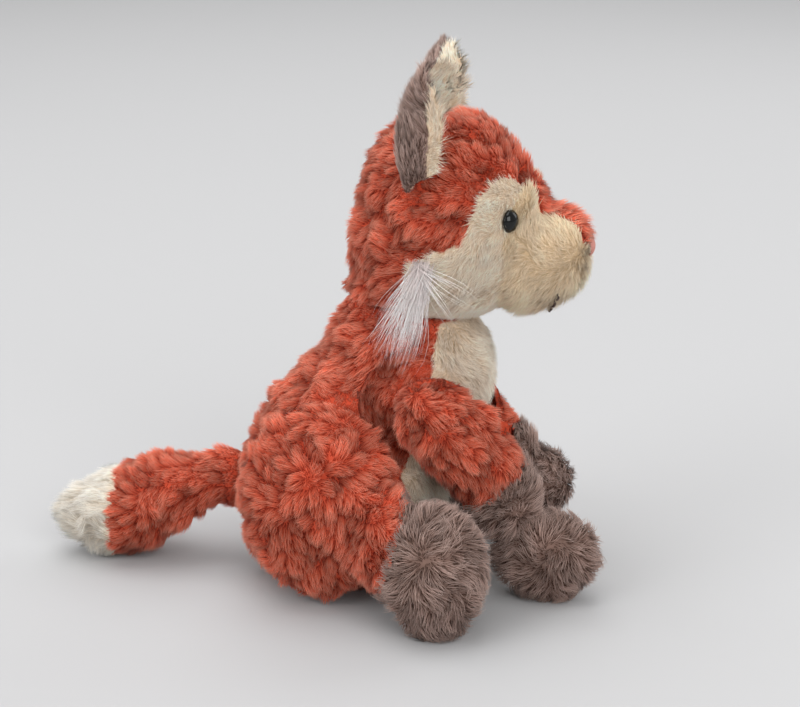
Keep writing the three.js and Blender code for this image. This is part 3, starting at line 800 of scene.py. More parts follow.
@dataclass(frozen=True)
class Lie:
    """How every pile lies on its cloth: lengths in millimetres, the rest as shares.

    Attributes:
        press_reach: How near a neighbour has to be to press the pile.
        press_gap: The gap to a neighbour that leaves no room.
        press_span: The width over which the room comes back.
        press_least: The least room outside a neighbour.
        seam_span: How near a seam the pile is trimmed.
        floor_gap: The height at which the skin starts to be drawn in.
        floor_span: The height over which that comes in.
        free_rate: How soon, as the room grows, the skin is drawn in whole.
        lock_gap: The least distance between locks, as a share of the usual one.
        clump_wander: How much further than locks clumps turn from the comb.
        fade_length: How far apart the places are where crevices run out.
        fade: How deep crevices are, and how much that swings.
        fade_least: The least depth of a crevice.
        level: The parts of a lock and of a clump that stand at the skin's own height.
        dye_share: The body colour's share in the cloth, the rest being the root's painted shade, and what a
            ridge and a crest add.
        bare_room: The room under which no hair grows.
        seat_height: The height under which no hair grows.
        pressed_trim: The length left where a neighbour presses, and what room adds.
        seam_trim: The length left at a seam, and what distance from it adds.
        crest_depth: The depth of a ridge between clumps, and what their crest adds; a hair's depth darkens it
            as painted shade.
    """

    press_reach: float = 12.0
    press_gap: float = 1.2
    press_span: float = 7.0
    press_least: float = 0.2
    seam_span: float = 7.0
    floor_gap: float = 0.5
    floor_span: float = 8.0
    free_rate: float = 1.5
    lock_gap: float = 0.8
    clump_wander: float = 1.2
    fade_length: float = 19.0
    fade: tuple[float, float] = (0.75, 0.6)
    fade_least: float = 0.2
    level: tuple[float, float] = (0.6, 0.5)
    dye_share: tuple[float, float, float] = (0.2, 0.2, 0.2)
    bare_room: float = 0.02
    seat_height: float = 0.8
    pressed_trim: tuple[float, float] = (0.3, 0.7)
    seam_trim: tuple[float, float] = (0.62, 0.38)
    crest_depth: tuple[float, float] = (0.45, 0.55)


LIE = Lie()
NEIGHBOUR_CELLS = [(x, y, z) for x in (-1, 0, 1) for y in (-1, 0, 1) for z in (-1, 0, 1)]


class Skin:
    """A body's cloth as one closed skin, remeshed from its panels, that its piles grow on."""

    def __init__(self, name: str, body: "PlushBody", neighbours: list[str]) -> None:
        """Builds the skin and finds each corner's panel and room to grow.

        Args:
            name: The skin's name.
            body: The stuffed body that the skin is for.
            neighbours: The CAD nodes of the other bodies, which press the pile flat.
        """
        self.name = name
        self.panels = body.panels()
        self.random = np.random.default_rng(body.seed)
        self.phase = float(self.random.uniform(0, math.tau))
        nodes = [panel.node for panel in self.panels] + body.fillings()
        self.mesh = remeshed(name, nodes, body.voxel, body.smoothing)
        self.points, self.normals = corners_of(self.mesh)
        self.points = body.eased(self.points)
        corners = np.zeros(len(self.mesh.polygons) * 3, dtype=np.int32)
        self.mesh.polygons.foreach_get("vertices", corners)
        self.triangles = corners.reshape(-1, 3)
        self.panel_of = body.seams(self.points, self.find_panels(body.looked_up(self.points)))
        self.room = self.find_room(neighbours)
        self.edge = self.find_edge()
        self.draw_in()
        self.ridge = np.ones(len(self.points))
        self.crest = np.ones(len(self.points))
        self.near = np.zeros((len(self.points), LOCKS_ROUND), dtype=int)
        self.turn = np.zeros(len(self.points))
        self.locks: list[Locks] = []
        for index, panel in enumerate(self.panels):
            self.gather_locks(index, panel)
        self.turn = self.softened(self.turn, 1)

    def find_panels(self, points: np.ndarray) -> np.ndarray:
        """Finds the panel under each place.

        Args:
            points: Places on the cloth.

        Returns:
            The panels' numbers.
        """
        trees = [surface_tree([panel.node]) for panel in self.panels]
        far = np.array([[tree.find_nearest(p)[3] for tree in trees] for p in points])
        return np.argmin(far, axis=1)

    def find_room(self, neighbours: list[str]) -> np.ndarray:
        """Finds how freely the pile grows at each corner.

        Args:
            neighbours: The CAD nodes of the other bodies.

        Returns:
            From 0 where a neighbour presses the pile to 1.
        """
        tree = surface_tree(neighbours)
        room = np.ones(len(self.points))
        for index, point in enumerate(self.points):
            spot, normal, _, distance = tree.find_nearest(point, LIE.press_reach * MM)
            if spot is not None:
                inside = (Vector(point) - spot).dot(normal) < 0
                free = max(LIE.press_least, (distance / MM - LIE.press_gap) / LIE.press_span)
                room[index] = 0.0 if inside else min(1.0, free)
        return room

    def find_edge(self) -> np.ndarray:
        """Finds how far each corner is from the nearest other panel.

        Returns:
            From 0 at the seam to 1 where the pile is whole.
        """
        edge = np.ones(len(self.points))
        if len(self.panels) == 1:
            return edge
        for index in range(len(self.panels)):
            tree = point_tree(self.points[self.panel_of != index])
            own = np.flatnonzero(self.panel_of == index)
            edge[own] = [min(1.0, tree.find(self.points[corner])[2] / (LIE.seam_span * MM)) for corner in own]
        return edge

    def softened(self, values: np.ndarray, passes: int) -> np.ndarray:
        """Evens out values at the corners with their neighbours' values.

        Args:
            values: One value for each corner.
            passes: How many times.

        Returns:
            The evened values.
        """
        pairs = np.concatenate([self.triangles[:, pair] for pair in ([0, 1], [1, 2], [2, 0])])
        count = np.bincount(pairs[:, 0], minlength=len(values)) + 1
        for _ in range(passes):
            values = (values + np.bincount(pairs[:, 0], values[pairs[:, 1]], len(values))) / count
        return values

    def draw_in(self) -> None:
        """Pulls the skin in where its pile stands free, so that the pile fills the CAD form."""
        inset = np.array([panel.pile.inset for panel in self.panels])[self.panel_of]
        above = np.clip((self.points[:, 2] / MM - LIE.floor_gap) / LIE.floor_span, 0, 1)
        inset = inset * np.clip(LIE.free_rate * self.room, 0, 1) * above
        self.points = self.points - self.normals * (self.softened(inset, 5) * MM)[:, None]

    def ways_at(self, index: int, points: np.ndarray, normals: np.ndarray) -> np.ndarray:
        """The combed directions of one panel's pile."""
        return self.panels[index].comb.directions(points, normals, self.phase)

    def spread(self, index: int, spacing: float, turn: float, under: Locks | None = None) -> Locks:
        """Spreads locks evenly over one panel.

        Args:
            index: The panel's number.
            spacing: How far apart the locks are, in millimetres.
            turn: How far, in radians, a lock commonly turns from the comb.
            under: The larger clumps whose turn these locks share.

        Returns:
            The locks.
        """
        spacing *= MM
        apart = (LIE.lock_gap * spacing) ** 2
        chosen: list[int] = []
        cells: dict[tuple, list[int]] = {}
        for vertex in self.random.permutation(np.flatnonzero(self.panel_of == index)):
            point = self.points[vertex]
            cell = tuple((point / spacing).astype(int))
            near = (other for step in NEIGHBOUR_CELLS
                    for other in cells.get((cell[0] + step[0], cell[1] + step[1], cell[2] + step[2]), ()))
            if all(np.sum((self.points[other] - point) ** 2) > apart for other in near):
                chosen.append(int(vertex))
                cells.setdefault(cell, []).append(int(vertex))
        spots, normals = self.points[chosen], self.normals[chosen]
        turns = self.random.normal(0.0, turn, len(chosen))
        if under is not None:
            turns += under.turns[under.nearest(spots, under.candidates(spots))[0]]
        ways = turned(self.ways_at(index, spots, normals), normals, turns)
        return Locks(spots, normals, ways, turns, self.panels[index].pile.stretch, spacing)

    def gather_locks(self, index: int, panel: Panel) -> None:
        """Spreads one panel's clumps and locks, and records how each corner lies among them.

        Args:
            index: The panel's number.
            panel: The panel.
        """
        own = np.flatnonzero(self.panel_of == index)
        clumps = self.spread(index, panel.pile.clump, LIE.clump_wander * panel.pile.wander)
        locks = self.spread(index, panel.pile.lock, panel.pile.wander, clumps)
        spots = self.points[own]
        self.crest[own] = clumps.nearest(spots, clumps.candidates(spots))[1]
        found = locks.candidates(spots)
        self.near[own, :found.shape[1]] = found
        lock, ridge = locks.nearest(spots, found)
        self.ridge[own] = self.faded(spots, ridge)
        self.turn[own] = locks.turns[lock]
        self.locks.append(locks)

    def faded(self, points: np.ndarray, ridge: np.ndarray) -> np.ndarray:
        """Lets the crevices between locks run out here and there."""
        deep = LIE.fade[0] + LIE.fade[1] * waves(points, LIE.fade_length, self.phase)
        return 1 - (1 - ridge) * np.clip(deep, LIE.fade_least, 1.0)

    def emboss(self) -> None:
        """Raises each clump and each lock as a soft ridge with crevices round it."""
        piles = [panel.pile for panel in self.panels]
        relief = np.array([pile.relief for pile in piles])[self.panel_of]
        swell = np.array([pile.swell for pile in piles])[self.panel_of]
        rise = (self.ridge - LIE.level[0]) * relief + (self.crest - LIE.level[1]) * swell
        rise = self.softened(rise, 1) * self.room * MM
        self.points = self.points + self.normals * rise[:, None]
        self.points[:, 2] = np.maximum(self.points[:, 2], 0.0)
        self.mesh.vertices.foreach_set("co", self.points.ravel())
        self.mesh.update()
        self.normals = unit(self.normals + vectors(self.mesh.vertex_normals, "vector"))

    def finish(self, finishes: Finishes) -> bpy.types.Object:
        """Colours the skin by panel, in the root's painted shade mixed with the body's colour, less shade on
        ridges and crests, and makes it an object.

        Args:
            finishes: The fox's materials.

        Returns:
            The object.
        """
        roots = np.array([linear(panel.dye.root) for panel in self.panels])[self.panel_of]
        bodies = np.array([linear(panel.dye.body) for panel in self.panels])[self.panel_of]
        # Painted shade: the skin is mostly the root's colour, with more of the body's colour on ridges and
        # crests.
        least, ridge, crest = LIE.dye_share
        share = (least + ridge * self.ridge + crest * self.crest)[:, None]
        dye = self.mesh.attributes.new("dye", "FLOAT_COLOR", "POINT")
        dye.data.foreach_set("color", (roots * (1 - share) + bodies * share).ravel())
        return place(self.name, self.mesh, finishes.backing())

    def sample(self, index: int) -> tuple[np.ndarray, ...]:
        """Random roots for one panel's hairs.

        Args:
            index: The panel's number.

        Returns:
            Roots, normals, how long the pile may be at each root, the locks that the roots are
            in, how deep they lie between locks, and how far they turn from the comb.
        """
        pile = self.panels[index].pile
        corners = self.points[self.triangles]
        spans = np.cross(corners[:, 1] - corners[:, 0], corners[:, 2] - corners[:, 0])
        areas = np.linalg.norm(spans, axis=1) / 2
        mine = np.mean(self.panel_of[self.triangles] == index, axis=1) > 0.5
        open_air = np.mean(self.room[self.triangles], axis=1) > LIE.bare_room
        seat = np.mean(corners[:, :, 2], axis=1) < LIE.seat_height * MM
        areas = np.where(mine & open_air & ~seat, areas, 0.0)
        count = int(areas.sum() / MM ** 2 * pile.per_mm2)
        picks = self.random.choice(len(areas), count, p=areas / areas.sum())
        first, second = self.random.random(count), self.random.random(count)
        over = first + second > 1
        first[over], second[over] = 1 - first[over], 1 - second[over]
        shares = np.stack([1 - first - second, first, second], axis=1)
        chosen = self.triangles[picks]
        roots = np.sum(self.points[chosen] * shares[:, :, None], axis=1)
        normals = unit(np.sum(self.normals[chosen] * shares[:, :, None], axis=1))
        pressed, sewn = LIE.pressed_trim, LIE.seam_trim
        trim = (pressed[0] + pressed[1] * self.room) * (sewn[0] + sewn[1] * self.edge)
        own_share = shares * (self.panel_of[chosen] == index)
        corner = chosen[np.arange(count), np.argmax(own_share, axis=1)]
        own, ridge = self.locks[index].nearest(roots, self.near[corner])
        ridge = self.faded(roots, ridge)
        trim, crest, turn = (np.sum(part[chosen] * shares, axis=1) for part in (trim, self.crest, self.turn))
        # Between clumps the depth falls, which darkens hairs as painted shade and shortens them where the
        # pile is cut.
        depth = ridge * (LIE.crest_depth[0] + LIE.crest_depth[1] * crest) if pile.swell else ridge
        return roots, normals, trim, own, depth, turn


@dataclass(frozen=True)
class Hair:
    """One hair of three sides that tapers to a point, drawn once and copied along each path.

    Attributes:
        heights: How far along the hair each corner is, from 0 to 1.
        across: Where each corner is across the hair, for a width of two.
        faces: The corners of each triangle.
    """

    heights: np.ndarray
    across: np.ndarray
    faces: np.ndarray

    @classmethod
    def drawn(cls, steps: int) -> "Hair":
        """Draws the hair.

        Args:
            steps: How many straight lengths it has.

        Returns:
            The hair.
        """
        shape = bmesh.new()
        bmesh.ops.create_cone(shape, cap_ends=True, segments=3, radius1=1.0, radius2=0.0, depth=1.0)
        bmesh.ops.remove_doubles(shape, verts=shape.verts, dist=1e-5)
        bmesh.ops.translate(shape, verts=shape.verts, vec=(0.0, 0.0, 0.5))
        edges = [e for e in shape.edges if abs(e.verts[0].co.z - e.verts[1].co.z) > 0.5]
        if steps > 1:
            bmesh.ops.subdivide_edges(shape, edges=edges, cuts=steps - 1)
        bmesh.ops.triangulate(shape, faces=shape.faces)
        shape.verts.index_update()
        heights = np.array([v.co.z for v in shape.verts])
        spare = np.maximum(1 - heights, 1e-6)
        across = np.array([(v.co.x, v.co.y) for v in shape.verts]) / spare[:, None]
        across[heights > 0.999] = 0.0
        faces = np.array([[v.index for v in face.verts] for face in shape.faces])
        shape.free()
        return cls(heights, across, faces)


@dataclass(frozen=True)
class Curl:
    """How every hair runs from its root to its tip.

    Attributes:
        run: How the run along the cloth grows along the hair, as a power.
        gather: How the pull to the lock's tip grows along the hair, as a power.
        taper: How the hair thins, as a power.
        reach: The length of a lock's own path, in hairs.
        widths: The narrowest and the widest hair, as shares of the usual width.
        floor_gap: The least height over the floor, in millimetres.
        lengths: The shortest and the longest hair, as shares of the usual length.
    """

    run: float = 1.2
    gather: float = 1.4
    taper: float = 1.7
    reach: float = 1.1
    widths: tuple[float, float] = (0.75, 1.2)
    floor_gap: float = 0.15
    lengths: tuple[float, float] = (0.72, 1.12)


CURL = Curl()


@dataclass
class Growth:
    """Where a pile's hairs start, how long each is, and the paths that their locks take.

    Attributes:
        roots: The place of each hair's root.
        normals: The cloth's outward directions there.
        ways: The way that each hair lies.
        lengths: The length of each, in metres.
        depth: How deep each lies between locks, from 0 in a crevice to 1 on a ridge.
        lock_roots: The place of its lock's root.
        lock_normals: The cloth's outward direction at its lock's root.
        lock_ways: The way that its lock lies.
    """

    roots: np.ndarray
    normals: np.ndarray
    ways: np.ndarray
    lengths: np.ndarray
    depth: np.ndarray
    lock_roots: np.ndarray
    lock_normals: np.ndarray
    lock_ways: np.ndarray

    def part(self, keep: np.ndarray) -> "Growth":
        """Some of the hairs."""
        return Growth(*(getattr(self, name)[keep] for name in self.__dataclass_fields__))


def hair_mesh(name: str, growth: Growth, pile: Pile, random: np.random.Generator) -> bpy.types.Mesh:
    """Copies the drawn hair along every path.

    Args:
        name: The mesh's name.
        growth: The hairs to make.
        pile: How they are cut.
        random: The panel's random numbers.

    Returns:
        One mesh of closed hairs, with the attribute that their material reads.
    """
    hair = Hair.drawn(pile.steps)
    count = len(growth.roots)
    t = hair.heights[None, :, None]
    length = growth.lengths[:, None, None]
    rise = pile.lift * (1 - (1 - t) ** 2)
    run = math.sqrt(1 - pile.lift ** 2) * t ** CURL.run
    normals, ways = growth.normals[:, None, :], growth.ways[:, None, :]
    sides = unit(np.cross(growth.normals, growth.ways))[:, None, :]
    bend = random.normal(0.0, pile.bend, count)[:, None, None] * t ** 2
    own = growth.roots[:, None, :] + length * (normals * rise + ways * run + sides * bend)
    lock = growth.lock_roots[:, None, :] + length * CURL.reach * (
        growth.lock_normals[:, None, :] * rise + growth.lock_ways[:, None, :] * run)
    share = pile.gather * t ** CURL.gather
    path = own * (1 - share) + lock * share
    slope = normals * (2 * pile.lift * (1 - t)) + ways * CURL.reach
    up = np.cross(unit(slope.reshape(-1, 3)).reshape(slope.shape), sides)
    widths = random.uniform(*CURL.widths, count)[:, None, None]
    radius = pile.thickness * MM / 2 * widths * (1 - t ** CURL.taper)
    out = sides * hair.across[None, :, :1] + up * hair.across[None, :, 1:]
    corners = path + radius * out
    corners[:, :, 2] = np.maximum(corners[:, :, 2], CURL.floor_gap * MM)
    step = np.arange(count)[:, None, None] * len(hair.heights)
    faces = (hair.faces[None, :, :] + step).reshape(-1, 3)
    mesh = triangle_mesh(name, corners.reshape(-1, 3), faces)
    # Each hair's random tone, its place along the hair and how deep it lies between locks, which its material
    # turns into painted shade and highlight.
    shade = np.ones((count, len(hair.heights), 4))
    shade[:, :, 0] = random.random(count)[:, None]
    shade[:, :, 1] = hair.heights[None, :]
    shade[:, :, 2] = growth.depth[:, None]
    mesh.attributes.new("hair", "FLOAT_COLOR", "POINT").data.foreach_set("color", shade.ravel())
    soft = unit((normals + pile.roundness * out).reshape(-1, 3))
    mesh.attributes.new("custom_normal", "FLOAT_VECTOR", "POINT").data.foreach_set("vector", soft.ravel())
    return mesh


def triangle_mesh(name: str, corners: np.ndarray, faces: np.ndarray) -> bpy.types.Mesh:
    """Makes a mesh of copied triangles.

    Args:
        name: The mesh's name.
        corners: Its corners, one row each.
        faces: The corners of each triangle.

    Returns:
        The mesh.
    """
    mesh = bpy.data.meshes.new(name)
    mesh.vertices.add(len(corners))
    mesh.vertices.foreach_set("co", corners.ravel())
    mesh.loops.add(faces.size)
    mesh.loops.foreach_set("vertex_index", faces.ravel().astype(np.int32))
    mesh.polygons.add(len(faces))
    mesh.polygons.foreach_set("loop_start", np.arange(0, faces.size, 3, dtype=np.int32))
    mesh.update(calc_edges=True)
    return mesh


@dataclass(frozen=True)
class Bulge:
    """A soft push on the cloth: its middle, how far round it reaches, and the way it moves the cloth."""

    middle: tuple[float, float, float]
    reach: float
    push: tuple[float, float, float]

    def move(self, points: np.ndarray) -> np.ndarray:
        """The places with this push added."""
        far = np.linalg.norm(points - np.array(self.middle), axis=1) / self.reach
        return points + np.exp(-far ** 2)[:, None] * np.array(self.push)


# The cloth nodes of each body, which press the pile of the others.
COVERS = {
    "torso": ["torso_cover", "chest_panel"],
    "head": ["head_cover", "cheek_panel_left", "cheek_panel_right", "muzzle_cover", "bridge_strip"],
    "ear_left": ["ear_back_left", "ear_lining_left"],
    "ear_right": ["ear_back_right", "ear_lining_right"],
    "arm_left": ["arm_sleeve_left", "paw_left"],
    "arm_right": ["arm_sleeve_right", "paw_right"],
    "leg_left": ["thigh_left", "foot_left"],
    "leg_right": ["thigh_right", "foot_right"],
    "tail": ["tail_cover", "tail_tip"],
}

# Soft pushes on the cloth, as places and lengths in metres: over the neck seam, on the brow and
# the back of the head, on the front of the far sleeve, and on the near paw.
NAPE = (Bulge((0.0, -0.006, 0.138), 0.022, (0.0, 0.006, 0.0)),)
BROW = (Bulge((0.0, -0.096, 0.196), 0.018, (0.0, -0.003, 0.004)),
        Bulge((0.0, -0.006, 0.150), 0.020, (0.0, 0.003, 0.0)))
FAR_SLEEVE = (Bulge((0.045, -0.082, 0.088), 0.023, (0.0, 0.016, 0.0)),)
NEAR_PAW = (Bulge((-0.056, -0.086, 0.028), 0.024, (0.0, 0.017, 0.0)),)

# The most faces that one piece of pile has.
PIECE_LIMIT = 190_000

# How the lumps of a filling rise and fall, in radians per metre along each axis, and their
# height in millimetres.
LUMP_WAVES = np.array([[310.0, 190.0, 150.0], [-120.0, 270.0, 240.0]])
LUMP_HEIGHT = 0.5


@dataclass
class PlushBody:
    """A stuffed body: its panels, what fills it, and the closed skin that its pile grows on.

    Attributes:
        body: The CAD body that its pieces ride on.
        voxel: The remesh size of the skin, in millimetres.
        smoothing: How many times the skin is smoothed.
        seed: The seed of its random numbers.
        fill: How tightly it is stuffed, from 0 to 1; not used.
        filling_voxel: The remesh size of the filling, in millimetres.
        filling_inset: How far the filling is drawn in, in millimetres.
        tuck: The least depth of the filling under the skin, in millimetres.
        bulges: The soft pushes on its cloth.
        trim_start: Where pile starts to grow round a clearing, as a share of its reach.
        trim_span: The width over which it gets whole, as a share too.
        trim_least: The room that a clearing leaves.
        made: The pieces made so far.
    """

    body: str = "torso"
    voxel: float = 2.0
    smoothing: int = 4
    seed: int = 1
    fill: float = 0.7
    filling_voxel: float = 3.0
    filling_inset: float = 6.0
    tuck: float = 3.5
    bulges: tuple[Bulge, ...] = ()
    trim_start: float = 0.6
    trim_span: float = 0.9
    trim_least: float = 0.12
    made: list[bpy.types.Object] = field(default_factory=list)

    def panels(self) -> list[Panel]:
        """The sewn panels, the one with the most cloth first."""
        return []

    def fillings(self) -> list[str]:
        """The CAD nodes of the filling."""
        return []

    def clearings(self) -> list[tuple[Vector, float]]:
        """Where the pile is trimmed short, and how far round, in millimetres."""
        return []

    def eased(self, points: np.ndarray) -> np.ndarray:
        """Lets the cloth bulge past its CAD form.

        Args:
            points: The corners of the skin or of the filling.

        Returns:
            The moved corners.
        """
        for bulge in self.bulges:
            points = bulge.move(points)
        return points

    def looked_up(self, points: np.ndarray) -> np.ndarray:
        """Where the corners of the skin look for their panels, to move a seam by a little."""
        return points

    def seams(self, points: np.ndarray, panel_of: np.ndarray) -> np.ndarray:
        """The panel of each corner of the skin, where a seam is rolled from where the CAD has it."""
        return panel_of

    def build(self) -> None:
        """Makes the skin and raises its locks."""
        near = [name for body, names in COVERS.items() if body != self.body for name in names]
        self.skin = Skin(f"{self.body}_backing", self, near)
        for middle, reach in self.clearings():
            far = np.linalg.norm(self.skin.points - np.array(middle), axis=1) / MM
            grown = (far - self.trim_start * reach) / (self.trim_span * reach)
            self.skin.room *= np.clip(grown, self.trim_least, 1.0)
        self.skin.emboss()

    def pack(self, node: str, finishes: Finishes) -> None:
        """Packs the cover with one lumpy filling, drawn in from the cloth.

        Args:
            node: The CAD node of the filling.
            finishes: The fox's materials.
        """
        name = node.replace("stuffing", "wadding")
        mesh = remeshed(name, [node], self.filling_voxel, 2, hollow=True)
        points, normals = corners_of(mesh)
        points = self.eased(points)
        lumps = np.sin(points @ LUMP_WAVES[0]) * np.sin(points @ LUMP_WAVES[1])
        drawn_in = (self.filling_inset + LUMP_HEIGHT * lumps) * MM
        points = self.tucked(self.sunk(points - normals * drawn_in[:, None]))
        mesh.vertices.foreach_set("co", points.ravel())
        fibre = finishes.plain("fibre_filling", "#f2f0ec", 0.95, Grain(260.0, 0.2, 0.8))
        piece = place(name, mesh, fibre)
        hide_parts(node)
        self.settle(piece)

    def sunk(self, points: np.ndarray) -> np.ndarray:
        """The corners of the filling, where it has settled lower than its CAD form."""
        return points

    def tucked(self, points: np.ndarray) -> np.ndarray:
        """Moves the filling inside the skin where a crevice or the cover's edge meets it.

        Args:
            points: The corners of the filling.

        Returns:
            The moved corners.
        """
        skin = BVHTree.FromPolygons(self.skin.points.tolist(), self.skin.triangles.tolist())
        for index, point in enumerate(points):
            spot, normal, _, distance = skin.find_nearest(point)
            if distance < self.tuck * MM or (Vector(point) - spot).dot(normal) > 0:
                points[index] = spot - normal * (self.tuck * MM)
        return points

    def dress(self, finishes: Finishes) -> None:
        """Makes the skin, the filling and the piles into pieces that ride on the body.

        Args:
            finishes: The fox's materials.
        """
        for node in self.fillings():
            self.pack(node, finishes)
        backing = self.skin.finish(finishes)
        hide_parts(self.panels()[0].node)
        self.panels()[0].dye.slot
        self.settle(backing)
        for index, panel in enumerate(self.panels()):
            pieces = self.grow(index, panel, finishes)
            if index:
                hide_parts(panel.node)

    def settle(self, piece: bpy.types.Object) -> None:
        """Rides a piece on this body and keeps it among the pieces made."""
        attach(piece, self.body)
        self.made.append(piece)

    def grow(self, index: int, panel: Panel, finishes: Finishes) -> list[bpy.types.Object]:
        """Grows one panel's pile, in as many pieces as its hairs need.

        Args:
            index: The panel's number.
            panel: The panel.
            finishes: The fox's materials.

        Returns:
            The pile's pieces.
        """
        skin, pile = self.skin, panel.pile
        roots, normals, trim, own, depth, turn = skin.sample(index)
        locks = skin.locks[index]
        turns = turn + skin.random.normal(0.0, pile.stray, len(roots))
        ways = turned(skin.ways_at(index, roots, normals), normals, turns)
        lengths = pile.length * MM * trim * (1 - pile.cut * (1 - depth))
        lengths *= skin.random.uniform(*CURL.lengths, len(roots))
        growth = Growth(roots, normals, ways, lengths, depth,
                        locks.places[own], locks.normals[own], locks.ways[own])
        count = max(1, math.ceil(len(roots) * len(Hair.drawn(pile.steps).faces) / PIECE_LIMIT))
        order = np.argsort(roots[:, 0]) if count > 1 else np.arange(len(roots))
        pieces = []
        for number, keep in enumerate(np.array_split(order, count)):
            name = panel.piece if count == 1 else f"{panel.piece}_{number + 1}"
            mesh = hair_mesh(name, growth.part(keep), pile, skin.random)
            piece = place(name, mesh, finishes.pile(panel.dye, f"{panel.dye.slot}_{panel.dye.body[1:]}"))
            self.settle(piece)
            pieces.append(piece)
        return pieces


@dataclass
class Torso(PlushBody):
    """The pear-shaped torso with its cream front.

    Attributes:
        neck_floor: The height over which its filling has settled, in metres.
        neck_share: The share of its height there that the filling keeps.
        down_the_back: The way that its coral pile is combed.
    """

    body: str = "torso"
    seed: int = 11
    bulges: tuple[Bulge, ...] = NAPE
    neck_floor: float = 0.105
    neck_share: float = 0.45
    down_the_back: tuple[float, float, float] = (0.0, 0.35, -1.0)

    def panels(self) -> list[Panel]:
        """The coral cover and the cream front.

        Returns:
            The panels.
        """
        return [
            Panel("torso_cover", SHAG, CORAL, Comb(Flow.ALONG, self.down_the_back), "torso_pile"),
            Panel("chest_panel", BIB, CREAM, Comb(Flow.ALONG, (0.0, -0.1, -1.0)), "chest_pile"),
        ]

    def fillings(self) -> list[str]:
        """The torso's filling."""
        return ["torso_stuffing"]

    def sunk(self, points: np.ndarray) -> np.ndarray:
        """Settles the filling of the neck, out of the thin rim that the head sits in.

        Args:
            points: The corners of the filling.

        Returns:
            The settled corners.
        """
        over = np.maximum(points[:, 2] - self.neck_floor, 0.0)
        points[:, 2] -= (1 - self.neck_share) * over
        return points


@dataclass
class Ear(PlushBody):
    """A cupped ear, streaky taupe behind and cream inside.

    Attributes:
        side: Which ear it is.
        height: Its height, in metres.
        bow: How far its back bows, in metres.
        lean: Its turn about X, in degrees.
        splay: Its turn about Y, in degrees.
        turn: Its turn about Z, in degrees.
        roll: How far ahead of its back the lining's seam lies, in metres.
        flare: How far its outer edge is rolled forwards, in metres.
        flare_span: Where ahead of its back the roll starts and over what width, in millimetres.
        flare_side: How far out the roll is whole, in millimetres.
        flare_heights: Heights in millimetres, and the roll's share at each.
        tip_span: Where the rounding of the tip starts and over what height, in millimetres.
        tip_most: The most that the tip is rounded.
        outer_seam: Heights in millimetres, and the shares of the seam's roll on the outer edge.
        inner_seam: The same on the inner edge.
        seam_span: The width over which one gives way to the other, in millimetres.
    """

    side: Side = Side.LEFT
    voxel: float = 1.0
    smoothing: int = 3
    fill: float = 0.3
    height: float = 0.060
    bow: float = 0.007
    lean: float = 8.0
    splay: float = 9.0
    turn: float = 15.0
    roll: float = 0.012
    flare: float = 0.008
    flare_span: tuple[float, float] = (3.0, 9.0)
    flare_side: float = 10.0
    flare_heights: tuple[tuple[float, ...], tuple[float, ...]] = ((-6, 4, 26, 46), (0, 1, 1, 0.15))
    tip_span: tuple[float, float] = (28.0, 32.0)
    tip_most: float = 0.97
    outer_seam: tuple[tuple[float, ...], tuple[float, ...]] = ((18, 35, 46, 54), (1.5, 1.1, 0.4, 0.05))
    inner_seam: tuple[tuple[float, ...], tuple[float, ...]] = ((18, 40), (0.5, 0.15))
    seam_span: float = 8.0

    def stance(self) -> tuple[np.ndarray, np.ndarray]:
        """Finds how the ear stands.

        Returns:
            The place of its hinge, and its own axes as the columns of a matrix.
        """
        hinge = next(joint for joint in frame["joints"] if joint["name"] == f"ear_fold_{self.side.label}")
        axes = (Matrix.Rotation(self.side.value * math.radians(self.splay), 3, "Y")
                @ Matrix.Rotation(math.radians(self.lean), 3, "X")
                @ Matrix.Rotation(self.side.value * math.radians(self.turn), 3, "Z"))
        return np.array(hinge["pos_m"]), np.array(axes)

    def ahead(self, local: np.ndarray) -> np.ndarray:
        """How far each place lies ahead of the ear's bowed back."""
        up = (local[:, 2] - self.height / 4) / (self.height / 2)
        return self.bow * (1 - up ** 2) - local[:, 1]

    def eased(self, points: np.ndarray) -> np.ndarray:
        """Rolls the outer edge of the cup forward, most of all low down, and rounds the ear's tip.

        Args:
            points: Places on the ear.

        Returns:
            The moved places.
        """
        hinge, axes = self.stance()
        local = (points - hinge) @ axes
        start, width = self.flare_span
        share = np.clip((self.ahead(local) - start * MM) / (width * MM), 0, 1)
        share *= np.clip(self.side.value * local[:, 0] / (self.flare_side * MM), 0, 1)
        share *= np.interp(local[:, 2] / MM, *self.flare_heights)
        local[:, 1] -= self.flare * share
        start, width = self.tip_span
        over = np.clip((local[:, 2] / MM - start) / width, 0, self.tip_most)
        local[:, 0] *= np.sqrt(1 - over ** 2)
        return local @ axes.T + hinge

    def seams(self, points: np.ndarray, panel_of: np.ndarray) -> np.ndarray:
        """Rolls the lining out over the front edges of the ear.

        Args:
            points: Places on the ear.
            panel_of: The panel of each in the CAD.

        Returns:
            The panel of each, with the seam moved.
        """
        hinge, axes = self.stance()
        local = (points - hinge) @ axes
        outer = np.interp(local[:, 2] / MM, *self.outer_seam)
        inner = np.interp(local[:, 2] / MM, *self.inner_seam)
        share = np.clip(0.5 + self.side.value * local[:, 0] / (self.seam_span * MM), 0, 1)
        roll = self.roll * (inner + (outer - inner) * share)
        return np.where(self.ahead(local) > roll, 1, panel_of)

    def panels(self) -> list[Panel]:
        """The ear's back and its lining.

        Returns:
            The panels.
        """
        label = self.side.label
        return [
            Panel(f"ear_back_{label}", EAR_BACK, TAUPE, Comb(Flow.ALONG, (0.0, 0.1, 1.0), swirl=0.15),
                  f"ear_back_pile_{label}"),
            Panel(f"ear_lining_{label}", EAR_INNER, CREAM, Comb(Flow.ALONG, (0.0, -0.2, 1.0)),
                  f"ear_lining_pile_{label}"),
        ]


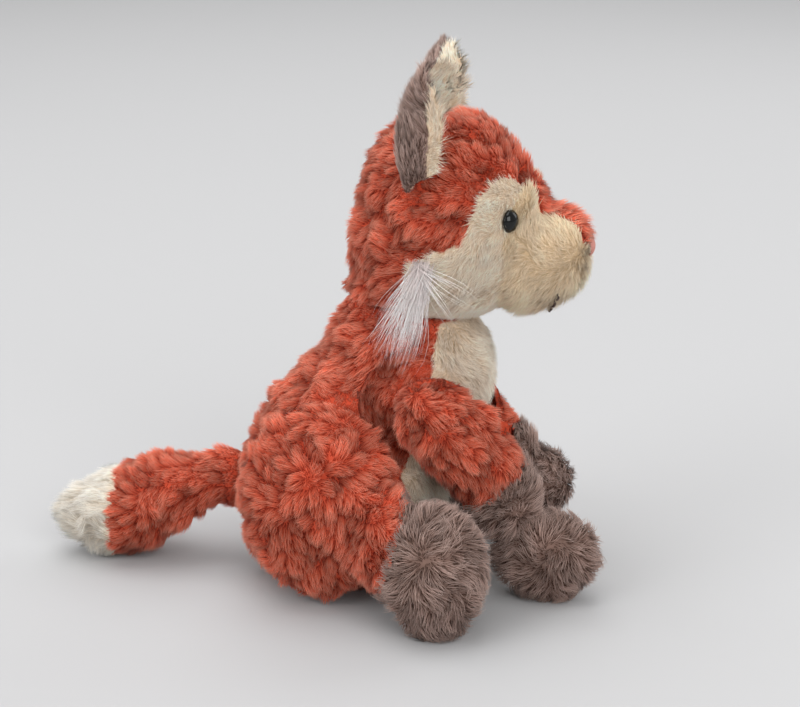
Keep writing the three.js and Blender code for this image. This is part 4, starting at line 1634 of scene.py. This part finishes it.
@dataclass
class Arm(PlushBody):
    """An arm that hangs from the shoulder, with a long-haired paw.

    Attributes:
        side: Which arm it is.
        whorl: The place that the paw's pile is combed from.
        sleeve: How the sleeve's pile is cut.
    """

    side: Side = Side.LEFT
    whorl: tuple[float, float, float] = (0.05, -0.112, 0.03)
    sleeve: Pile = SHAG

    def panels(self) -> list[Panel]:
        """The sleeve and the paw.

        Returns:
            The panels.
        """
        label = self.side.label
        return [
            Panel(f"arm_sleeve_{label}", self.sleeve, CORAL, Comb(Flow.ALONG, (0.0, -0.5, -0.85)),
                  f"sleeve_pile_{label}"),
            Panel(f"paw_{label}", SOCK, TAUPE, Comb(Flow.FROM, self.whorl, swirl=0.3), f"paw_pile_{label}"),
        ]

    def fillings(self) -> list[str]:
        """The arm's filling."""
        return [f"arm_stuffing_{self.side.label}"]


@dataclass
class Leg(PlushBody):
    """A folded hind leg: a round haunch and a foot whose pile spreads from a whorl.

    Attributes:
        side: Which leg it is.
        haunch_whorl: The place that a left haunch's pile is combed from.
        foot_whorl: The place that a left foot's pile is combed from.
    """

    side: Side = Side.LEFT
    haunch_whorl: tuple[float, float, float] = (0.09, 0.003, 0.07)
    foot_whorl: tuple[float, float, float] = (0.098, -0.054, 0.045)

    def mirrored(self, spot: tuple[float, float, float]) -> tuple[float, float, float]:
        """A place on the left leg moved to this leg's side."""
        return self.side.value * spot[0], spot[1], spot[2]

    def panels(self) -> list[Panel]:
        """The haunch and the foot.

        Returns:
            The panels.
        """
        label = self.side.label
        haunch = Comb(Flow.FROM, self.mirrored(self.haunch_whorl), drift=(0.0, 0.0, -0.2))
        foot = Comb(Flow.FROM, self.mirrored(self.foot_whorl), swirl=0.25)
        return [
            Panel(f"thigh_{label}", SHAG, CORAL, haunch, f"haunch_pile_{label}"),
            Panel(f"foot_{label}", SOCK, TAUPE, foot, f"foot_pile_{label}"),
        ]

    def fillings(self) -> list[str]:
        """The leg's filling."""
        return [f"leg_stuffing_{self.side.label}"]


@dataclass
class Tail(PlushBody):
    """The brush of a tail, coral with a cream tip."""

    body: str = "tail"
    seed: int = 71

    def panels(self) -> list[Panel]:
        """The cover and the tip.

        Returns:
            The panels.
        """
        back = Comb(Flow.ALONG, (0.0, 1.0, -0.25))
        return [
            Panel("tail_cover", SHAG, CORAL, back, "tail_pile"),
            Panel("tail_tip", TIP, TIP_CREAM, back, "tail_tip_pile"),
        ]

    def fillings(self) -> list[str]:
        """The tail's filling."""
        return ["tail_stuffing"]


@dataclass
class Head(PlushBody):
    """The head: a coral crown, a cream face, a short muzzle, eyes, nose, mouth and cheek tufts.

    Attributes:
        face_middle: The whorl that the crown's pile is combed from.
        eye_radius: The radius of an eye's dome, in millimetres.
        dome_height: The dome's height, in millimetres.
        dome_steps: How many steps the dome's profile has.
        eye_turns: How many steps the dome has round its axis.
        eye_sunk: How far the eye is pulled into the pile, in millimetres.
        rim_depth: The depth of the eye's rim under its dome, in millimetres.
        rim_share: The rim's radius as a share of the dome's.
        post_radius: The radius of the eye's post, in millimetres.
        post_length: The post's length, in millimetres.
        eye_out: How far to its side an eye looks, in degrees.
        eye_clearing: How far ahead of an eye the pile is trimmed from, and how far round.
        mouth_clearing: How far round the mouth the pile is trimmed.
        mouth_spots: Where along X the mouth's clearings are.
        cheek_span: How far aside the face line starts to move, and over what width.
        face_line: Heights and how far back the face line is moved at each, in millimetres.
        stitches: How many ends the mouth's stitches have.
        mouth_inside: A place in the muzzle that the mouth's stitches rise away from.
        mouth_rise: How far they rise, in millimetres.
        mouth_thread: The radius of the mouth's thread, in millimetres.
        nose_rows: How many satin stitches the nose has.
        nose_points: How many points each has.
        nose_taper: The nose's width at its foot, and what its height adds, as shares.
        nose_sunk: How far the nose's thread is sunk, in millimetres.
        nose_thread: The radius of the nose's thread, in millimetres.
        thread_end: The thinness of a thread's end, as a share.
        tuft_hairs: How many hairs a tuft has.
        tuft_seed: The seed of the tufts' random numbers, which the side's sign is added to.
        tuft_root: Where the left tuft is sewn on.
        tuft_spread: How wide its root is, in metres.
        tuft_scatter: How far its hairs' roots commonly scatter, in millimetres.
        tuft_stray: How far its hairs commonly turn from their lock.
        tuft_lengths: The shortest and the longest hair, as shares of the lock's length.
        tuft_depth: How far from a crevice its hairs' colour may be.
        tuft_locks: Each lock's tip, as millimetres outwards and Y and Z, and its share of hairs.
    """

    body: str = "head"
    filling_inset: float = 7.5
    bulges: tuple[Bulge, ...] = BROW
    voxel: float = 1.8
    seed: int = 23
    face_middle: tuple[float, float, float] = (0.0, -0.100, 0.196)
    eye_radius: float = 5.4
    dome_height: float = 4.2
    dome_steps: int = 10
    eye_turns: int = 40
    eye_sunk: float = 1.6
    rim_depth: float = 0.35
    rim_share: float = 0.96
    post_radius: float = 2.0
    post_length: float = 9.0
    eye_out: float = 20.0
    eye_clearing: tuple[float, float] = (4.0, 4.5)
    mouth_clearing: float = 2.2
    mouth_spots: tuple[float, ...] = (-12, -8, -4, 0, 4, 8, 12)
    cheek_span: tuple[float, float] = (27.0, 9.0)
    face_line: tuple[tuple[float, float], ...] = (
        (152.0, -8.0), (163.0, -5.0), (170.0, 0.0), (176.0, 3.0), (196.0, 5.2))
    stitches: int = 14
    mouth_inside: tuple[float, float, float] = (0.0, -0.085, 0.16)
    mouth_rise: float = 1.2
    mouth_thread: float = 0.6
    nose_rows: int = 13
    nose_points: int = 9
    nose_taper: tuple[float, float] = (0.72, 0.28)
    nose_sunk: float = 1.2
    nose_thread: float = 0.42
    thread_end: float = 0.45
    tuft_hairs: int = 480
    tuft_seed: int = 31
    tuft_root: tuple[float, float, float] = (0.0435, -0.0465, 0.165)
    tuft_spread: float = 0.0045
    tuft_scatter: tuple[float, float, float] = (0.8, 1.8, 1.8)
    tuft_stray: float = 0.1
    tuft_lengths: tuple[float, float] = (0.45, 1.04)
    tuft_depth: float = 0.9
    tuft_locks: tuple[tuple[float, float, float, float], ...] = (
        (3.0, -0.0455, 0.134, 0.15), (3.0, -0.042, 0.127, 0.22), (3.0, -0.0375, 0.1215, 0.26),
        (3.0, -0.0325, 0.123, 0.17), (3.0, -0.0275, 0.128, 0.1), (3.0, -0.023, 0.134, 0.05),
        (12.0, -0.074, 0.152, 0.025), (12.0, -0.064, 0.143, 0.025))

    def panels(self) -> list[Panel]:
        """The crown, the cheeks, the muzzle and the strip down its top.

        Returns:
            The panels.
        """
        crown = Comb(Flow.FROM, self.face_middle, drift=(0.0, 0.0, -0.15))
        cheek = Comb(Flow.FROM, (0.0, -0.112, 0.172), drift=(0.0, 0.1, -0.25), swirl=0.25)
        snout = Comb(Flow.FROM, (0.0, -0.124, 0.166), swirl=0.15)
        bridge = Comb(Flow.ALONG, (0.0, -1.0, 0.1), swirl=0.2)
        return [
            Panel("head_cover", SHAG, CORAL, crown, "crown_pile"),
            Panel("cheek_panel_left", FACE, CREAM, cheek, "cheek_pile_left"),
            Panel("cheek_panel_right", FACE, CREAM, cheek, "cheek_pile_right"),
            Panel("muzzle_cover", MUZZLE, MUZZLE_CREAM, snout, "muzzle_pile"),
            Panel("bridge_strip", BRIDGE, CORAL, bridge, "bridge_pile"),
        ]

    def fillings(self) -> list[str]:
        """The head's filling."""
        return ["head_stuffing"]

    def clearings(self) -> list[tuple[Vector, float]]:
        """Short pile round the eyes and the mouth.

        Returns:
            Each clearing's middle, and how far round it reaches.
        """
        forward, reach = self.eye_clearing
        ahead = Vector((0.0, -forward * MM, 0.0))
        mouth = cad_points("mouth_stitch")
        nearest = [np.argmin(np.abs(mouth[:, 0] - spot * MM)) for spot in self.mouth_spots]
        return [*((self.eye_apex(side)[0] + ahead, reach) for side in Side),
                *((Vector(mouth[index]), self.mouth_clearing) for index in nearest)]

    def looked_up(self, points: np.ndarray) -> np.ndarray:
        """Sews the upper face line a little further back than the CAD has it.

        Args:
            points: Places on the skin.

        Returns:
            Where each looks for its panel.
        """
        heights, shifts = zip(*self.face_line)
        start, width = self.cheek_span
        moved = points.copy()
        aside = np.clip((np.abs(points[:, 0]) / MM - start) / width, 0, 1)
        moved[:, 1] -= np.interp(points[:, 2] / MM, heights, shifts) * aside * MM
        return moved

    def eye_apex(self, side: Side) -> tuple[Vector, Vector]:
        """Finds the front of an eye.

        Args:
            side: Which eye.

        Returns:
            The place of its apex, and the way that it looks.
        """
        out = math.radians(self.eye_out)
        ahead = Vector((side.value * math.sin(out), -math.cos(out), 0.0))
        points = cad_points(f"eye_{side.label}")
        return Vector(points[np.argmax(points @ np.array(ahead))]), ahead

    def build_eye(self, side: Side, finishes: Finishes) -> None:
        """Turns a safety eye, with its dome, rim and post, on the eye's own axis.

        Args:
            side: Which eye.
            finishes: The fox's materials.
        """
        apex, ahead = self.eye_apex(side)
        angles = [step / self.dome_steps * math.pi / 2 for step in range(self.dome_steps + 1)]
        profile = [(self.eye_radius * math.sin(a), self.dome_height * (math.cos(a) - 1)) for a in angles]
        under = profile[-1][1] - self.rim_depth
        profile += [(self.eye_radius * self.rim_share, under), (self.post_radius, under),
                    (self.post_radius, under - self.post_length), (0.0, under - self.post_length)]
        shape = bmesh.new()
        corners = [shape.verts.new((r * MM, 0.0, z * MM)) for r, z in profile]
        edges = [shape.edges.new(pair) for pair in zip(corners, corners[1:])]
        bmesh.ops.spin(shape, geom=corners + edges, cent=(0, 0, 0), axis=(0, 0, 1), angle=math.tau,
                       steps=self.eye_turns, use_merge=True)
        bmesh.ops.remove_doubles(shape, verts=shape.verts, dist=0.005 * MM)
        bmesh.ops.recalc_face_normals(shape, faces=shape.faces)
        turn = ahead.to_track_quat("Z", "Y").to_matrix().to_4x4()
        sunk = Matrix.Translation(apex - ahead * (self.eye_sunk * MM))
        bmesh.ops.transform(shape, matrix=sunk @ turn, verts=shape.verts)
        black = finishes.plain("eye_black", "#050506", 0.1, Grain(900.0, 0.2, 0.002), specular=0.3, coat=0.12)
        name = f"eye_dome_{side.label}"
        self.sew_on(place(name, mesh_from(name, shape), black), f"eye_{side.label}", "eye_black")

    def sew_on(self, piece: bpy.types.Object, node: str, slot: str) -> None:
        """Puts a feature in the place of its CAD node.

        Args:
            piece: The feature.
            node: The CAD node.
            slot: The material's slot in the record; not used.
        """
        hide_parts(node)
        self.settle(piece)

    def tubes(self, name: str, paths: list[np.ndarray], radius: float,
              material: bpy.types.Material) -> bpy.types.Object:
        """Threads along paths, with their ends pulled in.

        Args:
            name: The piece's name.
            paths: The points of each thread.
            radius: The thread's radius, in millimetres.
            material: Its material.

        Returns:
            One piece with every thread as a closed tube.
        """
        curve = bpy.data.curves.new(name, "CURVE")
        curve.dimensions = "3D"
        curve.bevel_depth = radius * MM
        curve.bevel_resolution = 2
        curve.use_fill_caps = True
        for path in paths:
            spline = curve.splines.new("POLY")
            spline.points.add(len(path) - 1)
            for index, (point, spot) in enumerate(zip(spline.points, path)):
                point.co = (*spot, 1.0)
                point.radius = self.thread_end if index in (0, len(path) - 1) else 1.0
        holder = bpy.data.objects.new(f"{name}_curve", curve)
        bpy.context.collection.objects.link(holder)
        bpy.context.view_layer.update()
        mesh = bpy.data.meshes.new_from_object(holder.evaluated_get(bpy.context.evaluated_depsgraph_get()))
        bpy.data.objects.remove(holder)
        mesh.name = name
        mesh.materials.clear()
        return place(name, mesh, material)

    def build_mouth(self, finishes: Finishes) -> None:
        """Back-stitches the mouth along its CAD thread.

        Args:
            finishes: The fox's materials.
        """
        points = cad_points("mouth_stitch")
        ends = np.linspace(points[:, 0].min(), points[:, 0].max(), self.stitches)
        middles = [points[(points[:, 0] >= low) & (points[:, 0] <= high)].mean(axis=0)
                   for low, high in zip(ends, ends[1:])]
        paths = []
        for first, second in zip(middles, middles[1:]):
            away = unit(((first + second) / 2 - np.array(self.mouth_inside))[None, :])[0]
            bulge = away * self.mouth_rise * MM
            paths.append(np.array([first, first * 0.7 + second * 0.3 + bulge,
                                   first * 0.3 + second * 0.7 + bulge, second]))
        thread = finishes.plain("mouth_thread", "#40302a", 0.8, Grain(1500.0, 0.5, 0.1))
        piece = self.tubes("mouth_stitches", paths, self.mouth_thread, thread)
        self.sew_on(piece, "mouth_stitch", "mouth_thread")

    def build_nose(self, finishes: Finishes) -> None:
        """Lays the nose's satin stitches side by side over the tip of the muzzle.

        Args:
            finishes: The fox's materials.
        """
        low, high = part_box("nose_embroidery")
        tree = surface_tree(["nose_embroidery"])
        paths = []
        for row in range(self.nose_rows):
            share = (row + 0.5) / self.nose_rows
            level = low.z + (high.z - low.z) * share
            width = self.nose_taper[0] + self.nose_taper[1] * share
            half = (high.x - low.x) / 2 * math.sqrt(max(0.0, 1 - (2 * share - 1) ** 2)) * width
            line = []
            for step in range(self.nose_points):
                out = half * (2 * step / (self.nose_points - 1) - 1)
                spot = tree.ray_cast(Vector((out, low.y - 0.05, level)), Vector((0, 1, 0)))[0]
                if spot is not None:
                    line.append(np.array(spot) + np.array([0.0, self.nose_sunk * MM, 0.0]))
            if len(line) > 3:
                paths.append(np.array(line))
        thread = finishes.plain("nose_thread", "#c98a7f", 0.8, Grain(1400.0, 0.4, 0.08))
        piece = self.tubes("nose_stitches", paths, self.nose_thread, thread)
        self.sew_on(piece, "nose_embroidery", "nose_thread")

    def build_tuft(self, side: Side, finishes: Finishes) -> None:
        """Hangs a tuft of long white hair from the back of the cheek.

        Args:
            side: Which cheek.
            finishes: The fox's materials.
        """
        random = np.random.default_rng(self.tuft_seed + side.value)
        count, fans = self.tuft_hairs, len(self.tuft_locks)
        lock_of = random.choice(fans, count, p=[share for *_, share in self.tuft_locks])
        middle = np.array(self.tuft_root) * np.array([side.value, 1.0, 1.0])
        starts = np.tile(middle, (fans, 1))
        starts[:, 1] += np.linspace(-0.5, 0.5, fans) * self.tuft_spread
        tips = np.array([(middle[0] + side.value * out * MM, y, z) for out, y, z, _ in self.tuft_locks])
        outward = np.tile([float(side.value), 0.0, 0.0], (fans, 1))
        spans = np.linalg.norm(tips - starts, axis=1)
        lock_ways = unit(tips - starts)
        scatter = random.normal(0.0, 1.0, (count, 3)) * np.array(self.tuft_scatter) * MM
        roots = starts[lock_of] + scatter
        ways = unit(lock_ways[lock_of] + random.normal(0.0, self.tuft_stray, (count, 3)))
        lengths = spans[lock_of] * random.uniform(*self.tuft_lengths, count)
        depth = random.uniform(0.0, self.tuft_depth, count)
        growth = Growth(roots, outward[lock_of], ways, lengths, depth, starts[lock_of],
                        outward[lock_of], lock_ways[lock_of])
        name = f"tuft_hair_{side.label}"
        piece = place(name, hair_mesh(name, growth, TUFT, random), finishes.pile(WHITE, "white_hair"))
        self.sew_on(piece, f"cheek_tuft_{side.label}", "white_hair")

    def dress(self, finishes: Finishes) -> None:
        """Dresses the head and sews on its features.

        Args:
            finishes: The fox's materials.
        """
        super().dress(finishes)
        for side in Side:
            self.build_eye(side, finishes)
            self.build_tuft(side, finishes)
        self.build_mouth(finishes)
        self.build_nose(finishes)


@dataclass
class Insides:
    """The pellet bag and the eye washers, which stay CAD nodes, and the colour of each."""

    bag_colour: str = "#b9b4a8"
    washer_colour: str = "#e8e6e0"

    def dress(self, finishes: Finishes) -> None:
        """Gives each inner node its own material.

        Args:
            finishes: The fox's materials.
        """
        bag = finishes.plain("pellet_bag", self.bag_colour, 0.85, Grain(700.0, 0.25, 0.3))
        washer = finishes.plain("washer_plastic", self.washer_colour, 0.45, Grain(1200.0, 0.05, 0.01))
        for name, node in frame["nodes"].items():
            if "pellet" in name or "washer" in name:
                node.data.materials.clear()
                node.data.materials.append(bag if "pellet" in name else washer)


@dataclass(frozen=True)
class Lamp:
    """A square soft light: where it stands, what it faces, how wide and how strong it is."""

    name: str
    spot: tuple[float, float, float]
    aim: tuple[float, float, float]
    size: float
    watts: float


@dataclass
class Studio:
    """The camera, the pale floor and the soft lights.

    Attributes:
        camera_spot: Where the camera stands.
        camera_aim: What it faces.
        lens: Its focal length, in millimetres.
        sensor: The width of its sensor, in millimetres.
        floor_colour: The colour of the paper that the fox sits on.
        floor_half: Half the floor's width, in metres.
        ambient: The strength of the even light from all round.
        lamps: The soft lights.
    """

    camera_spot: tuple[float, float, float] = (-0.8476, -0.1642, 0.3655)
    camera_aim: tuple[float, float, float] = (0.0, -0.030, 0.1113)
    lens: float = 84.58
    sensor: float = 36.0
    floor_colour: str = "#b6b6b7"
    floor_half: float = 8.0
    ambient: float = 0.5
    lamps: tuple[Lamp, ...] = (
        Lamp("overhead_light", (0.0, 0.5, 2.8), (0.0, 0.0, 0.1), 2.4, 46.0),
        Lamp("camera_side_light", (-2.1, -1.3, 1.5), (0.0, 0.0, 0.1), 1.8, 41.0),
        Lamp("rear_side_light", (-1.8, 1.8, 1.5), (0.0, 0.0, 0.1), 1.8, 30.0),
        Lamp("far_floor_light", (2.4, 0.3, 2.4), (2.0, 0.3, 0.0), 2.2, 26.0),
        Lamp("far_side_light", (1.5, -1.7, 1.2), (0.0, 0.0, 0.1), 1.4, 12.0),
    )

    def build(self, finishes: Finishes) -> None:
        """Builds the floor, the lights, the world and the camera.

        Args:
            finishes: The materials.
        """
        shape = bmesh.new()
        bmesh.ops.create_grid(shape, x_segments=2, y_segments=2, size=self.floor_half)
        paper = finishes.plain("studio_paper", self.floor_colour, 0.9, Grain(2.0, 0.01, 0.0))
        place("studio_floor", mesh_from("studio_floor", shape), paper)
        for lamp in self.lamps:
            data = bpy.data.lights.new(lamp.name, "AREA")
            data.shape = "SQUARE"
            data.size = lamp.size
            data.energy = lamp.watts
            self.stand(bpy.data.objects.new(lamp.name, data), lamp.spot, lamp.aim)
        world = bpy.data.worlds.new("studio_world")
        bpy.context.scene.world = world
        world.use_nodes = True
        backdrop = world.node_tree.nodes["Background"]
        backdrop.inputs["Color"].default_value = WHITE_PAINT
        backdrop.inputs["Strength"].default_value = self.ambient
        data = bpy.data.cameras.new("studio_camera")
        data.lens = self.lens
        data.sensor_width = self.sensor
        camera = bpy.data.objects.new("studio_camera", data)
        self.stand(camera, self.camera_spot, self.camera_aim)
        bpy.context.scene.camera = camera
        bpy.context.scene.view_settings.view_transform = "Standard"

    def stand(self, thing: bpy.types.Object, spot: tuple[float, float, float],
              aim: tuple[float, float, float]) -> None:
        """Stands a lamp or the camera in the scene.

        Args:
            thing: The lamp or the camera.
            spot: Where it stands.
            aim: What it faces.
        """
        thing.location = spot
        thing.rotation_euler = (Vector(aim) - Vector(spot)).to_track_quat("-Z", "Y").to_euler()
        bpy.context.collection.objects.link(thing)


def corners(box: tuple[Vector, Vector]) -> list[list[float]]:
    """A box as plain lists of numbers."""
    return [[float(value) for value in corner] for corner in box]


def main() -> None:
    """Builds the fox body by body, dresses it, and sets up the studio."""
    logging.basicConfig(level=logging.INFO, format="%(name)s: %(message)s")
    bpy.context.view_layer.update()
    finishes = Finishes()
    bodies: list[PlushBody] = [
        Torso(),
        Head(),
        Ear(body="ear_left", side=Side.LEFT, seed=41),
        Ear(body="ear_right", side=Side.RIGHT, seed=42),
        Arm(body="arm_left", side=Side.LEFT, seed=51, whorl=(0.056, -0.098, 0.045),
            sleeve=replace(SHAG, length=6.0, relief=2.4), bulges=FAR_SLEEVE),
        Arm(body="arm_right", side=Side.RIGHT, seed=52, whorl=(-0.055, -0.112, 0.037), bulges=NEAR_PAW),
        Leg(body="leg_left", side=Side.LEFT, seed=61),
        Leg(body="leg_right", side=Side.RIGHT, seed=62),
        Tail(),
    ]
    for body in bodies:
        body.build()
        body.dress(finishes)
        for piece in body.made:
            log.info("%s: %s, %d faces", body.body, piece.name, len(piece.data.polygons))
    Insides().dress(finishes)
    Studio().build(finishes)


if __name__ == "__main__":
    main()
